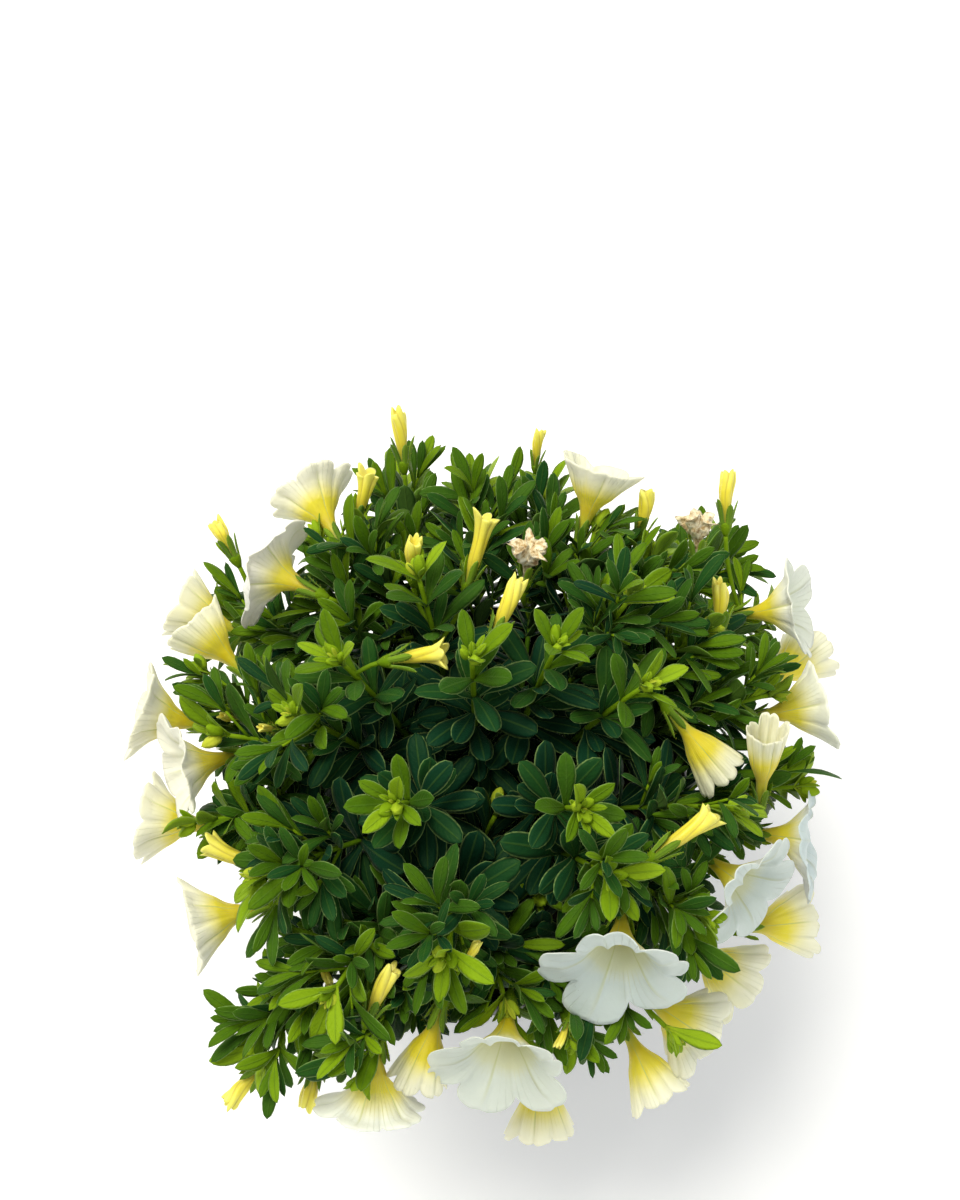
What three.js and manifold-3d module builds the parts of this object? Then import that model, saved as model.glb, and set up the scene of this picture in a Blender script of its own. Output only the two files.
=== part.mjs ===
// Calibrachoa ("million bells") in a plain nursery pot. Millimetres, +Z up.
// The origin is the middle of the pot's flat base, so the pot stands on Z = 0.
// Leafy stems stand in holes in the soil, arch out over the rim and branch into leafy shoots. Each
// corolla and each yellow bud is a body of its own, seated in a green calyx that is one piece with
// its stem. Leaves are placed by a seeded rule that keeps them clear of other stems and of flowers.

import * as THREE from "three";
import { mergeVertices } from "three/addons/utils/BufferGeometryUtils.js";
import Module from "manifold-3d";

const wasm = await Module();
wasm.setup();

// ---------------------------------------------------------------- driving dimensions

const POT = {
  rimRadius: 60, // a 12 cm pot
  neckRadius: 56.5, // under the lip
  footRadius: 43,
  height: 95,
  lipHeight: 13,
  lipRound: 0.8,
  wall: 1.8,
  lipWall: 3,
  floor: 2.4,
  drainRadius: 4,
  drainCircle: 27,
  drains: 5,
  drainSides: 6,
  segments: 28,
};
const SOIL = { top: 86, crown: 1.5, slope: 6, edgeDrop: 2, gap: 0.35 };

const STEM = {
  sunk: 7, // how far a stem reaches into the soil
  baseShare: 0.2, // a stem leaves the soil at this share of its tip's plan radius,
  baseRing: 5.5, // and this much further out
  baseRadius: 1.3,
  branchRadius: 0.95,
  tipRadius: 0.8,
  sides: 3,
  straight: 0.15, // share of its length over which a stem rises straight
  bendShare: 0.5, // where a main stem bends over, as a share of its tip's plan radius
  bendRise: 0.58, // and of its height
  arch: 20, // how much higher the outermost stems arch
  branchFrom: 0.3, // where side shoots leave the main stem
  branchBend: 0.4,
  branchArch: 0.2,
  holeSides: 5,
  holeDepth: 21,
  holeGap: 0.35,
};
const DOME = { top: 163, radius: 95, drop: 58, power: 2.3 }; // height of the shoot tips over the plan

const LEAF = {
  firstAt: 0.22, // share of a main stem's length where leaves begin
  branchFirstAt: 0.34,
  pitch: 12, // length of shoot from one whorl to the next
  crowding: 0.85, // whorls draw together towards the tip
  perWhorl: 4,
  longest: 22,
  shortest: 15.5,
  youngFrom: 0.35, // share of the shoot above which leaves get smaller
  plain: 15.5, // a leaf shorter than this is a plain point
  slimness: 0.31, // width over length
  widest: 0.66, // where the blade is widest, as a share of its length
  stalk: 0.4, // width at the root, as a share of the full width
  lean: [1.25, 0.55], // radians between a leaf and its shoot, low down and at the tip
  leastLean: 0.35,
  bend: [0.6, 0.35], // radians that a blade bends back, low down and at the tip
  sunward: 0.8, // how much a blade's face turns up to the light
  node: 1.2, // a whorl's half height at the shoot
  axil: 0.6, // how far from the shoot two neighbouring leaves part
  gap: 2.1, // kept clear of other stems and their leaves
  flowerGap: 2.3,
  ownGap: 1.4,
};
// Other ways for a leaf to lie where the first is taken: [added lean, share of its length].
const LEAF_TRIES = [
  [0, 1],
  [-0.25, 0.92],
  [0.25, 0.85],
  [-0.4, 0.78],
  [0, 0.66],
];
// Leaves stay above the soil, off the pot's lip and off its wall: [within this radius, least height].
const LEAST_HEIGHT = [
  [POT.neckRadius - 6, SOIL.top + 4],
  [POT.rimRadius + 4, POT.height + 3],
  [Infinity, 61],
];
const CLEARANCE = { cell: 3.6, step: 1.8, petal: 0.4 };

const PEDICEL = {
  radius: 0.75,
  sides: 3,
  bands: 2,
  from: [0.62, 0.7, 0.78, 0.86, 0.93], // shares of a shoot where a flower's stalk may leave it
  detour: 1.6, // how much a stalk would rather be long than crooked
  bend: 0.45,
};
const CALYX = { root: -0.4, depth: 2.3, valley: [1.6, 2.7], tooth: [3.1, 9.4], teeth: 5 };
const COROLLA = {
  seat: 3.2, // the tube's lower end above the calyx's root
  hollow: 10.5, // where the open funnel ends inside
  throat: 14, // height of the mouth of the tube
  mouth: 2.6, // its radius on a closed limb,
  mouthGrowth: 0.06, // and what each millimetre of span adds
  petal: 13.5, // from the mouth to the edge of most limbs, so that a limb flattens as it opens
  wall: 0.7,
  lobes: 5,
  notch: 0.84, // radius in the cut between two lobes, as a share of the limb's
  curl: 0.45, // how far the lobes curl back and the notches stand up
};
const BUD = { heights: [5.5, 9], swell: 0.8, sides: 5, twist: 0.35, point: 1.2 };
const BUD_RADII = [1, 2, 2.6, 1.7];
const WITHERED_RADII = [0.9, 1.6, 4.2, 3.2];
// What leaves stay clear of round a flower: [height, radius] of each ring, and the rings' spacing.
const KEPT_CLEAR = {
  tube: [
    [4, 1.2],
    [7, 1.8],
    [10, 2.2],
  ],
  flare: 12.5,
  bud: [2.4, 2.2],
  step: 2.6,
  density: 2.3,
};

const COLOURS = {
  pot: { color: 0x1c1f22, roughness: 0.5 },
  soil: { color: 0x2e2118, roughness: 0.95 },
  foliage: { color: 0x3f7420, roughness: 0.55 },
  corolla: { color: 0xf1f0ea, roughness: 0.6 },
  bud: { color: 0xe6dc3a, roughness: 0.6 },
  withered: { color: 0xcdbb8a, roughness: 0.9 },
};

// ---------------------------------------------------------------- what grows where

// One entry per leafy stem: where its shoots end in plan, and how far below the dome where that is
// given. The first is the main stem's tip, and the others branch off it.
const STEMS = [
  [[-20, -21], [-53, -34]],
  [[-2, 15], [0, 79]],
  [[19, 19], [19, 79]],
  [[41, 11], [79, 21]],
  [[31, -37], [55, -43]],
  [[24, -22], [62, -16], [85, -4]],
  [[-8, -54], [-29, -79], [4, -14, 38], [6, -60, 24]],
  [[-35, 17], [-45, 67]],
  [[-46, 4], [-66, 4], [-12, -4, 42]],
  [[-16, 42], [-24, 92]],
  [[-32, 64], [-76, 59, 15]],
  [[39, 38], [32, 66]],
  [[47, 56], [70, 75]],
  [[59, 33], [82, 52]],
  [[23, -67, 18], [48, -68, 4], [14, -34, 36]],
  [[-36, -61], [-55, -71]],
  [[-73, -17], [-74, 26]],
];

// Flowers: where the calyx sits, which way it looks (azimuth from +X and pitch above level, in
// degrees), how wide the limb stands open, and its petals' length where they are long.
const FLOWERS = [
  { name: "corolla_01", seat: [27, 62, 128], aim: [71, 31], span: 23 },
  { name: "corolla_02", seat: [-38, 63, 125], aim: [119, -5], span: 25 },
  { name: "corolla_03", seat: [-42, 46, 132], aim: [151, -9], span: 32 },
  { name: "corolla_04", seat: [-63, 28, 112], aim: [138, 10], span: 20 },
  { name: "corolla_05", seat: [-66, 48, 95], aim: [156, 12], span: 21 },
  { name: "corolla_06", seat: [-72, 15, 110], aim: [171, 15], span: 25 },
  { name: "corolla_07", seat: [-61, 5, 123], aim: [201, 14], span: 27 },
  { name: "corolla_08", seat: [-68, -12, 105], aim: [173, -2], span: 24 },
  { name: "corolla_09", seat: [-53, -35, 116], aim: [196, 2], span: 24 },
  { name: "corolla_10", seat: [-26, -69, 118], aim: [265, -35], span: 27 },
  { name: "corolla_11", seat: [8, -58, 112], aim: [264, 23], span: 33, petal: 17 },
  { name: "corolla_12", seat: [16, -68, 94], aim: [272, -33], span: 19 },
  { name: "corolla_13", seat: [37, -37, 132], aim: [263, 17], span: 35, petal: 17 },
  { name: "corolla_14", seat: [-9, -62, 129], aim: [249, -42], span: 15 },
  { name: "corolla_15", seat: [36, -61, 102], aim: [300, -19], span: 17 },
  { name: "corolla_16", seat: [40, -58, 114], aim: [336, -36], span: 24 },
  { name: "corolla_17", seat: [52, -41, 104], aim: [331, -29], span: 23 },
  { name: "corolla_18", seat: [56, -23, 125], aim: [317, 20], span: 29 },
  { name: "corolla_19", seat: [68, -39, 99], aim: [14, -28], span: 19 },
  { name: "corolla_20", seat: [70, -13, 107], aim: [350, 8], span: 31 },
  { name: "corolla_21", seat: [72, 17, 112], aim: [11, 5], span: 25 },
  { name: "corolla_22", seat: [70, 50, 108], aim: [0, 23], span: 27 },
  { name: "corolla_23", seat: [81, 31, 94], aim: [45, -17], span: 19 },
  { name: "corolla_24", seat: [47, 9, 150], aim: [319, -35], span: 14 },
  { name: "corolla_25", seat: [75, -12, 121], aim: [91, 54], span: 11 },
];
const BUDS = [
  { name: "yellow_bud_01", seat: [-22, 90, 122], aim: [96, 35], length: 17 },
  { name: "yellow_bud_02", seat: [-35, 68, 130], aim: [70, 45], length: 16 },
  { name: "yellow_bud_03", seat: [-18, 45, 143], aim: [90, 65], length: 15 },
  { name: "yellow_bud_04", seat: [-4, 44, 139], aim: [72, 30], length: 21 },
  { name: "yellow_bud_05", seat: [2, 21, 156], aim: [62, 30], length: 19 },
  { name: "yellow_bud_06", seat: [71, 72, 118], aim: [91, 30], length: 17 },
  { name: "yellow_bud_07", seat: [44, 63, 130], aim: [75, 35], length: 15 },
  { name: "yellow_bud_08", seat: [-71, 68, 105], aim: [122, 35], length: 14 },
  { name: "yellow_bud_09", seat: [-26, 19, 152], aim: [3, 20], length: 17 },
  { name: "yellow_bud_10", seat: [65, 33, 132], aim: [88, 40], length: 16 },
  { name: "yellow_bud_11", seat: [41, -34, 151], aim: [34, 12], length: 20 },
  { name: "yellow_bud_12", seat: [-53, -30, 129], aim: [163, 5], length: 18 },
  { name: "yellow_bud_13", seat: [-54, -74, 105], aim: [222, -5], length: 16 },
  { name: "yellow_bud_14", seat: [-42, -72, 106], aim: [255, -20], length: 15 },
];
const WITHERED = [
  { name: "withered_flower_1", seat: [12, 45, 140], aim: [80, 60], length: 13 },
  { name: "withered_flower_2", seat: [61, 58, 126], aim: [90, 42], length: 13 },
];

// ---------------------------------------------------------------- small helpers

const TURN = 2 * Math.PI;
const vector = (x, y, z) => new THREE.Vector3(x, y, z);
const mix = (a, b, share) => a + (b - a) * share;

// A repeatable stream of numbers between low and high.
function randomFrom(seed) {
  let state = seed;
  return (low, high) => {
    state = (state * 16807) % 2147483647;
    return mix(low, high, state / 2147483647);
  };
}

// The frame of a path at a share t of it: its heading, and two directions square to it.
function frameOn(path, t) {
  const run = path.v2.clone().sub(path.v0);
  const level = vector(-run.y, run.x, 0);
  const heading = path.getTangent(t);
  const up = heading.clone().cross(level).normalize();
  return { centre: path.getPoint(t), heading, up, side: up.clone().cross(heading) };
}

// The same for a flower, in its own axes: it grows along +Z from its seat.
const frameUp = (height) => ({ centre: vector(0, 0, height), side: vector(1, 0, 0), up: vector(0, 1, 0) });

function around({ centre, side, up }, radius, angle) {
  return centre
    .clone()
    .addScaledVector(side, radius * Math.cos(angle))
    .addScaledVector(up, radius * Math.sin(angle));
}

// A point of a ring, with its turn round the ring's axis in radians.
const ringPoint = (at, turn = 0) => ({ at, turn });
const tip = (at) => [ringPoint(at)];

function round(frame, radius, sides, twist = 0) {
  return Array.from({ length: sides }, (_, i) => {
    const turn = (TURN * i) / sides;
    return ringPoint(around(frame, radius, turn + twist), turn);
  });
}

// A closed body from rings of points, each joined to the next in order of turn. A ring of one point
// is a tip. Where turns tie, the wider ring goes first, so the two skins of a thin wall fold alike.
function skin(rings) {
  const points = [];
  const faces = [];
  const first = rings.map((ring) => points.push(...ring.map(({ at }) => at)) - ring.length);
  const spread = (ring) => ring[0].at.distanceTo(ring[ring.length >> 1].at);
  const turnAfter = (ring, i) => {
    if (ring.length === 1 || i === ring.length) return Infinity;
    return i + 1 < ring.length ? ring[i + 1].turn : ring[0].turn + TURN;
  };
  for (let i = 0; i + 1 < rings.length; i++) {
    const [low, high] = [rings[i], rings[i + 1]];
    const tie = spread(high) > spread(low) ? 1e-9 : -1e-9;
    let [a, b] = [0, 0];
    while ((low.length > 1 && a < low.length) || (high.length > 1 && b < high.length)) {
      const here = [first[i] + (a % low.length), first[i + 1] + (b % high.length)];
      if (turnAfter(high, b) < turnAfter(low, a) + tie) {
        b += 1;
        faces.push(here[0], first[i + 1] + (b % high.length), here[1]);
      } else {
        a += 1;
        faces.push(here[0], first[i] + (a % low.length), here[1]);
      }
    }
  }
  const geometry = new THREE.BufferGeometry().setFromPoints(points);
  geometry.setIndex(faces);
  return geometry;
}

function solidOf(geometry) {
  const bare = geometry.clone();
  bare.deleteAttribute("normal");
  bare.deleteAttribute("uv");
  const merged = mergeVertices(bare, 1e-4);
  const vertProperties = merged.attributes.position.array;
  const triVerts = new Uint32Array(merged.index.array);
  return new wasm.Manifold(new wasm.Mesh({ numProp: 3, vertProperties, triVerts }));
}

function geometryOf(solid) {
  const mesh = solid.getMesh();
  const geometry = new THREE.BufferGeometry();
  geometry.setAttribute("position", new THREE.BufferAttribute(mesh.vertProperties, 3));
  geometry.setIndex(new THREE.BufferAttribute(mesh.triVerts, 1));
  return geometry;
}

// Joins bodies into one. A scrap that touches nothing is dropped.
function fuse(solids) {
  const bodies = wasm.Manifold.union(solids).decompose();
  return bodies.reduce((best, body) => (body.volume() > best.volume() ? body : best));
}

function part(name, geometry, look) {
  const mesh = new THREE.Mesh(geometry, new THREE.MeshStandardMaterial({ metalness: 0, ...look }));
  mesh.name = name;
  return mesh;
}

// ---------------------------------------------------------------- clearances

// Points that stand for the surfaces already placed, kept in cells so that near ones are found fast.
class Occupied {
  constructor(cell) {
    this.cell = cell;
    this.cells = new Map();
  }
  cellOf(p) {
    return [p.x, p.y, p.z].map((value) => Math.floor(value / this.cell));
  }
  add(points, what) {
    for (const p of points) {
      const key = this.cellOf(p).join();
      if (!this.cells.has(key)) this.cells.set(key, []);
      this.cells.get(key).push({ p, ...what });
    }
  }
  // Whether a point comes nearer than gapTo(what) to the surface of anything placed.
  blocked(p, gapTo) {
    const [x, y, z] = this.cellOf(p);
    for (let i = x - 1; i <= x + 1; i++)
      for (let j = y - 1; j <= y + 1; j++)
        for (let k = z - 1; k <= z + 1; k++)
          for (const other of this.cells.get(`${i},${j},${k}`) ?? [])
            if (p.distanceTo(other.p) < gapTo(other) + other.radius) return true;
    return false;
  }
}

// ---------------------------------------------------------------- stems

function tipPoint([x, y, below = 0]) {
  const drop = DOME.drop * (Math.hypot(x, y) / DOME.radius) ** DOME.power;
  return vector(x, y, DOME.top - drop - below);
}

// The main stem rises straight out of its hole and arches out to its tip.
function mainPath(plan) {
  const end = tipPoint(plan);
  const foot = SOIL.top - STEM.sunk;
  const radius = Math.hypot(end.x, end.y);
  const share = STEM.baseShare + STEM.baseRing / radius;
  const start = vector(end.x * share, end.y * share, foot);
  const lift = STEM.arch * (radius / DOME.radius) ** 2;
  const bend = vector(end.x, end.y, 0).multiplyScalar(STEM.bendShare);
  bend.z = mix(foot, end.z, STEM.bendRise) + lift;
  return new THREE.QuadraticBezierCurve3(start, bend, end);
}

function branchPath(main, plan) {
  const start = main.getPoint(STEM.branchFrom);
  const end = tipPoint(plan);
  const bend = start.clone().lerp(end, STEM.branchBend);
  bend.z += STEM.branchArch * start.distanceTo(end);
  return new THREE.QuadraticBezierCurve3(start, bend, end);
}

function shootsOf([first, ...others]) {
  const main = mainPath(first);
  return [main, ...others.map((plan) => branchPath(main, plan))];
}

// ---------------------------------------------------------------- leaves

// The leaf at share t of a shoot, turned by angle round it and leaning out by lean. Its face looks
// along the shoot and up to the light, and the blade bends back in an arc.
function leafAt(path, t, angle, lean, length, bend) {
  const frame = frameOn(path, t);
  const out = around({ ...frame, centre: vector(0, 0, 0) }, Math.sin(lean), angle);
  const heading = frame.heading.clone().multiplyScalar(Math.cos(lean)).add(out);
  const face = frame.heading.clone().add(vector(0, 0, LEAF.sunward));
  face.addScaledVector(heading, -face.dot(heading)).normalize();
  return { root: frame.centre, heading, face, side: face.clone().cross(heading), angle, length, bend };
}

function leafPoint(leaf, t, across = 0) {
  const turn = leaf.bend * t;
  return leaf.root
    .clone()
    .addScaledVector(leaf.heading, (leaf.length * Math.sin(turn)) / leaf.bend)
    .addScaledVector(leaf.face, (leaf.length * (Math.cos(turn) - 1)) / leaf.bend)
    .addScaledVector(leaf.side, across * halfWidth(leaf, t));
}

// The blade widens from its stalk and tapers to its tip.
function halfWidth(leaf, t) {
  const full = 0.5 * leaf.length * LEAF.slimness;
  if (t < LEAF.widest) return full * mix(LEAF.stalk, 1, t / LEAF.widest);
  return (full * (1 - t)) / (1 - LEAF.widest);
}

function leafPoints(leaf) {
  const along = [0.3, 0.42, 0.54, LEAF.widest, 0.78, 0.9, 1.0];
  return along.flatMap((t) => [-1, -0.5, 0, 0.5, 1].map((across) => leafPoint(leaf, t, across)));
}

function fits(leaf, path, stem, occupied) {
  const gapTo = (other) => {
    if (other.path === path) return -Infinity;
    if (other.stem === stem) return LEAF.ownGap;
    return other.stem === undefined ? LEAF.flowerGap : LEAF.gap;
  };
  const high = (p) => p.z > LEAST_HEIGHT.find(([within]) => Math.hypot(p.x, p.y) < within)[1];
  return leafPoints(leaf).every((p) => high(p) && !occupied.blocked(p, gapTo));
}

// Whorls of leaves up a shoot, long below and short at the tip. A leaf that finds no room tries
// other ways to lie, each shorter, and is left out if none is free.
function whorlsOf(path, firstAt, stem, occupied, random) {
  const whorls = [];
  const count = Math.round((path.getLength() * (1 - firstAt)) / LEAF.pitch) + 2;
  const turn = random(0, TURN);
  for (let i = 0; i < count; i++) {
    const share = i / (count - 1);
    const young = Math.max(0, (share - LEAF.youngFrom) / (1 - LEAF.youngFrom));
    const whorl = { t: mix(firstAt, 1, share ** LEAF.crowding), leaves: [] };
    for (let j = 0; j < LEAF.perWhorl; j++) {
      const angle = turn + ((i / 2 + j) * TURN) / LEAF.perWhorl + random(-0.2, 0.2);
      const length = mix(LEAF.longest, LEAF.shortest, young) * random(0.85, 1.1);
      const lean = mix(...LEAF.lean, share) + random(-0.15, 0.15);
      const bend = mix(...LEAF.bend, share) * random(0.5, 1.5);
      const tries = LEAF_TRIES.map(([tilt, shrink]) =>
        leafAt(path, whorl.t, angle, Math.max(LEAF.leastLean, lean + tilt), length * shrink, bend),
      );
      const leaf = tries.find((candidate) => fits(candidate, path, stem, occupied));
      if (!leaf) continue;
      whorl.leaves.push(leaf);
      occupied.add(leafPoints(leaf), { stem, radius: 0 });
    }
    if (whorl.leaves.length) whorls.push(whorl);
  }
  return whorls;
}

// The outline of a whorl, seen down the shoot: each blade's two widest points and its tip, and the
// axils where neighbouring blades part. The smallest leaves are plain points.
function whorlRim(path, { t, leaves }, axil) {
  const frame = frameOn(path, t);
  const seen = (at) => {
    const out = at.clone().sub(frame.centre);
    return ringPoint(at, (Math.atan2(out.dot(frame.up), out.dot(frame.side)) + TURN) % TURN);
  };
  const rim = [];
  leaves.forEach((leaf, i) => {
    rim.push(seen(leafPoint(leaf, 1)));
    if (leaf.length > LEAF.plain)
      rim.push(seen(leafPoint(leaf, LEAF.widest, -1)), seen(leafPoint(leaf, LEAF.widest, 1)));
    const next = i + 1 < leaves.length ? leaves[i + 1].angle : leaves[0].angle + TURN;
    const axils = Math.ceil((next - leaf.angle) / 2);
    for (let j = 1; j <= axils; j++)
      rim.push(seen(around(frame, axil, mix(leaf.angle, next, j / (axils + 1)))));
  });
  return rim.sort((a, b) => a.turn - b.turn);
}

// A shoot with its whorls, in one skin. The blades grow out between two rings of the stem.
function shootSkin(path, baseRadius, whorls) {
  const radiusAt = (t) => mix(baseRadius, STEM.tipRadius, t);
  const ringAt = (t, shift) => {
    const frame = frameOn(path, t);
    frame.centre.addScaledVector(frame.heading, shift);
    return round(frame, radiusAt(t), STEM.sides);
  };
  const rings = [tip(path.v0), ringAt(0, 0), ringAt(STEM.straight, 0)];
  for (const whorl of whorls) {
    const rim = whorlRim(path, whorl, radiusAt(whorl.t) + LEAF.axil);
    rings.push(ringAt(whorl.t, -LEAF.node), rim, ringAt(whorl.t, LEAF.node));
  }
  const end = path.v2.clone().addScaledVector(path.getTangent(1), 2 * LEAF.node);
  return skin([...rings, tip(end)]);
}

// ---------------------------------------------------------------- flowers

// Puts an object at a flower's seat, turned so that its +Z looks the flower's way.
function seatAt(object, { seat, aim }) {
  const [azimuth, pitch] = aim.map(THREE.MathUtils.degToRad);
  const axis = vector(Math.cos(azimuth), Math.sin(azimuth), 0).multiplyScalar(Math.cos(pitch));
  axis.z = Math.sin(pitch);
  object.up.set(0, 0, 1);
  object.position.set(...seat);
  object.lookAt(axis.add(object.position));
  object.updateMatrix();
  return object;
}

const seatMatrix = (head) => seatAt(new THREE.Object3D(), head).matrix;

// The green cup under a flower, with long narrow teeth.
function calyxSkin() {
  const rim = Array.from({ length: 2 * CALYX.teeth }, (_, i) => {
    const [radius, height] = i % 2 ? CALYX.tooth : CALYX.valley;
    const turn = (TURN * i) / (2 * CALYX.teeth);
    return ringPoint(around(frameUp(height), radius, turn), turn);
  });
  return skin([tip(vector(0, 0, CALYX.root)), rim, tip(vector(0, 0, CALYX.depth))]);
}

const mouthRadius = (span) => COROLLA.mouth + COROLLA.mouthGrowth * span;

// How far the limb runs out and forward of the mouth.
function limbRun({ span, petal = COROLLA.petal }) {
  const out = span / 2 - mouthRadius(span);
  return [out, Math.sqrt(petal ** 2 - out ** 2)];
}

// The edge of the limb: a notch between each lobe and the next.
function limbRing(radius, height) {
  return Array.from({ length: 3 * COROLLA.lobes }, (_, i) => {
    const isNotch = i % 3 === 0;
    const turn = (TURN * i) / (3 * COROLLA.lobes);
    const frame = frameUp(height + (isNotch ? COROLLA.curl : -COROLLA.curl));
    return ringPoint(around(frame, radius * (isNotch ? COROLLA.notch : 1), turn), turn);
  });
}

// One fused funnel: a slim tube in the calyx that opens into a lobed limb, hollow from the front.
function corollaSkin(flower) {
  const { seat, hollow, throat, wall, lobes } = COROLLA;
  const { span } = flower;
  const [out, forward] = limbRun(flower);
  const [mouth, reach] = [mouthRadius(span), throat + forward];
  const length = Math.hypot(out, forward);
  const [inset, lift] = [(wall * forward) / length, (wall * out) / length];
  return skin([
    tip(vector(0, 0, seat)),
    round(frameUp(throat), mouth, 3 * lobes),
    limbRing(span / 2, reach),
    limbRing(span / 2 - inset, reach + lift),
    round(frameUp(throat + lift), mouth - inset, 3 * lobes),
    tip(vector(0, 0, hollow)),
  ]);
}

// A closed bud: a slim furled tube that swells and twists towards its tip.
function budSkin(length, radii) {
  const heights = [...BUD.heights, BUD.swell * length, length];
  const rings = heights.map((height, i) => round(frameUp(height), radii[i], BUD.sides, BUD.twist * i));
  return skin([tip(vector(0, 0, COROLLA.seat)), ...rings, tip(vector(0, 0, length + BUD.point))]);
}

// Points over a corolla or bud that leaves stay clear of.
function flowerPoints(head) {
  const { tube, flare, bud, step, density } = KEPT_CLEAR;
  const rings = [...tube];
  if (head.span) {
    const [mouth, [out, forward]] = [mouthRadius(head.span), limbRun(head)];
    const bands = Math.ceil(Math.hypot(out, forward) / step);
    rings.push([flare, mix(tube.at(-1)[1], mouth, 0.5)]);
    for (let i = 0; i <= bands; i++)
      rings.push([COROLLA.throat + (forward * i) / bands, mouth + (out * i) / bands]);
  } else {
    rings.push([BUD.swell * head.length, bud[0]], [head.length, bud[1]]);
  }
  const matrix = seatMatrix(head);
  const ringPoints = ([height, radius]) =>
    round(frameUp(height), radius, Math.max(5, Math.round(radius * density)));
  return rings.flatMap(ringPoints).map(({ at }) => at.applyMatrix4(matrix));
}

// The flower's stalk leaves the shoot that serves it best and ends in line with the calyx.
function pedicelOf(head, stems) {
  const seat = vector(...head.seat);
  const axis = vector(0, 0, 1).transformDirection(seatMatrix(head));
  let best = null;
  stems.forEach((shoots, stem) => {
    for (const shoot of shoots)
      for (const t of PEDICEL.from) {
        const start = shoot.getPoint(t);
        const run = seat.clone().sub(start);
        const cost = run.length() * (PEDICEL.detour - run.clone().normalize().dot(axis));
        if (!best || cost < best.cost) best = { cost, stem, start, length: run.length() };
      }
  });
  const bend = seat.clone().addScaledVector(axis, -PEDICEL.bend * best.length);
  return { head, stem: best.stem, path: new THREE.QuadraticBezierCurve3(best.start, bend, seat) };
}

function pedicelSkin(path) {
  const { radius, sides, bands } = PEDICEL;
  const rings = Array.from({ length: bands + 1 }, (_, i) => round(frameOn(path, i / bands), radius, sides));
  return skin([tip(path.v0), ...rings, tip(path.v2)]);
}

// ---------------------------------------------------------------- pot and soil

// A body turned about Z from a profile of [radius, height] points that starts and ends on the axis.
function turned(profile) {
  const points = profile.map(([radius, height]) => new THREE.Vector2(radius, height));
  return new THREE.LatheGeometry(points, POT.segments).rotateX(Math.PI / 2);
}

function potSolid() {
  const { rimRadius, neckRadius, footRadius, height, lipHeight, lipRound, wall, lipWall, floor } = POT;
  const shoulder = height - lipHeight;
  const body = turned([
    [0, 0],
    [footRadius, 0],
    [neckRadius, shoulder],
    [rimRadius - lipRound, shoulder],
    [rimRadius, height],
    [rimRadius - lipWall, height],
    [neckRadius - wall, shoulder],
    [footRadius - wall, floor],
    [0, floor],
  ]);
  const holes = Array.from({ length: POT.drains }, (_, i) => {
    const { x, y } = around(frameUp(0), POT.drainCircle, (TURN * i) / POT.drains);
    const hole = new THREE.CylinderGeometry(POT.drainRadius, POT.drainRadius, 4 * floor, POT.drainSides);
    return solidOf(hole.rotateX(Math.PI / 2).translate(x, y, 0));
  });
  return solidOf(body).subtract(wasm.Manifold.union(holes));
}

// The hole that a stem stands in: the stem's own straight foot, a little wider and deeper.
function holeSkin(path) {
  const foot = frameOn(path, 0);
  const heading = path.getPoint(STEM.straight).sub(path.v0).normalize();
  const radius = (STEM.baseRadius + STEM.holeGap) / Math.cos(Math.PI / STEM.holeSides);
  const [low, high] = [-STEM.holeGap, STEM.holeDepth].map((along) => ({
    ...foot,
    centre: path.v0.clone().addScaledVector(heading, along),
  }));
  const rings = [low, high].map((frame) => round(frame, radius, STEM.holeSides));
  return skin([tip(low.centre), ...rings, tip(high.centre)]);
}

function soilSolid(mains) {
  const { gap, top, crown, slope, edgeDrop } = SOIL;
  const shoulder = POT.height - POT.lipHeight;
  const [narrow, wide] = [POT.footRadius - POT.wall - gap, POT.neckRadius - POT.wall - gap];
  const body = turned([
    [0, POT.floor + gap],
    [narrow, POT.floor + gap],
    [wide, shoulder],
    [wide, top - edgeDrop],
    [wide - slope, top],
    [0, top + crown],
  ]);
  const holes = mains.map((path) => solidOf(holeSkin(path)));
  return solidOf(body).subtract(wasm.Manifold.union(holes));
}

// ---------------------------------------------------------------- the whole plant

const stems = STEMS.map(shootsOf);
const heads = [...FLOWERS, ...BUDS, ...WITHERED];
const pedicels = heads.map((head) => pedicelOf(head, stems));

const occupied = new Occupied(CLEARANCE.cell);
function occupyPath(path, stem, radius) {
  const steps = Math.ceil(path.getLength() / CLEARANCE.step);
  for (let i = 0; i <= steps; i++) occupied.add([path.getPoint(i / steps)], { path, stem, radius });
}
heads.forEach((head) => occupied.add(flowerPoints(head), { radius: CLEARANCE.petal }));
stems.forEach((shoots, stem) => shoots.forEach((path) => occupyPath(path, stem, STEM.baseRadius)));
pedicels.forEach(({ path, stem }) => occupyPath(path, stem, PEDICEL.radius));

function leafyStem(shoots, stem) {
  const random = randomFrom(1000 + 37 * stem);
  const solids = shoots.map((path, i) => {
    const [firstAt, radius] = i ? [LEAF.branchFirstAt, STEM.branchRadius] : [LEAF.firstAt, STEM.baseRadius];
    return solidOf(shootSkin(path, radius, whorlsOf(path, firstAt, stem, occupied, random)));
  });
  for (const { head, path } of pedicels.filter((pedicel) => pedicel.stem === stem)) {
    solids.push(solidOf(pedicelSkin(path)));
    solids.push(solidOf(calyxSkin().applyMatrix4(seatMatrix(head))));
  }
  return geometryOf(fuse(solids));
}

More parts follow.
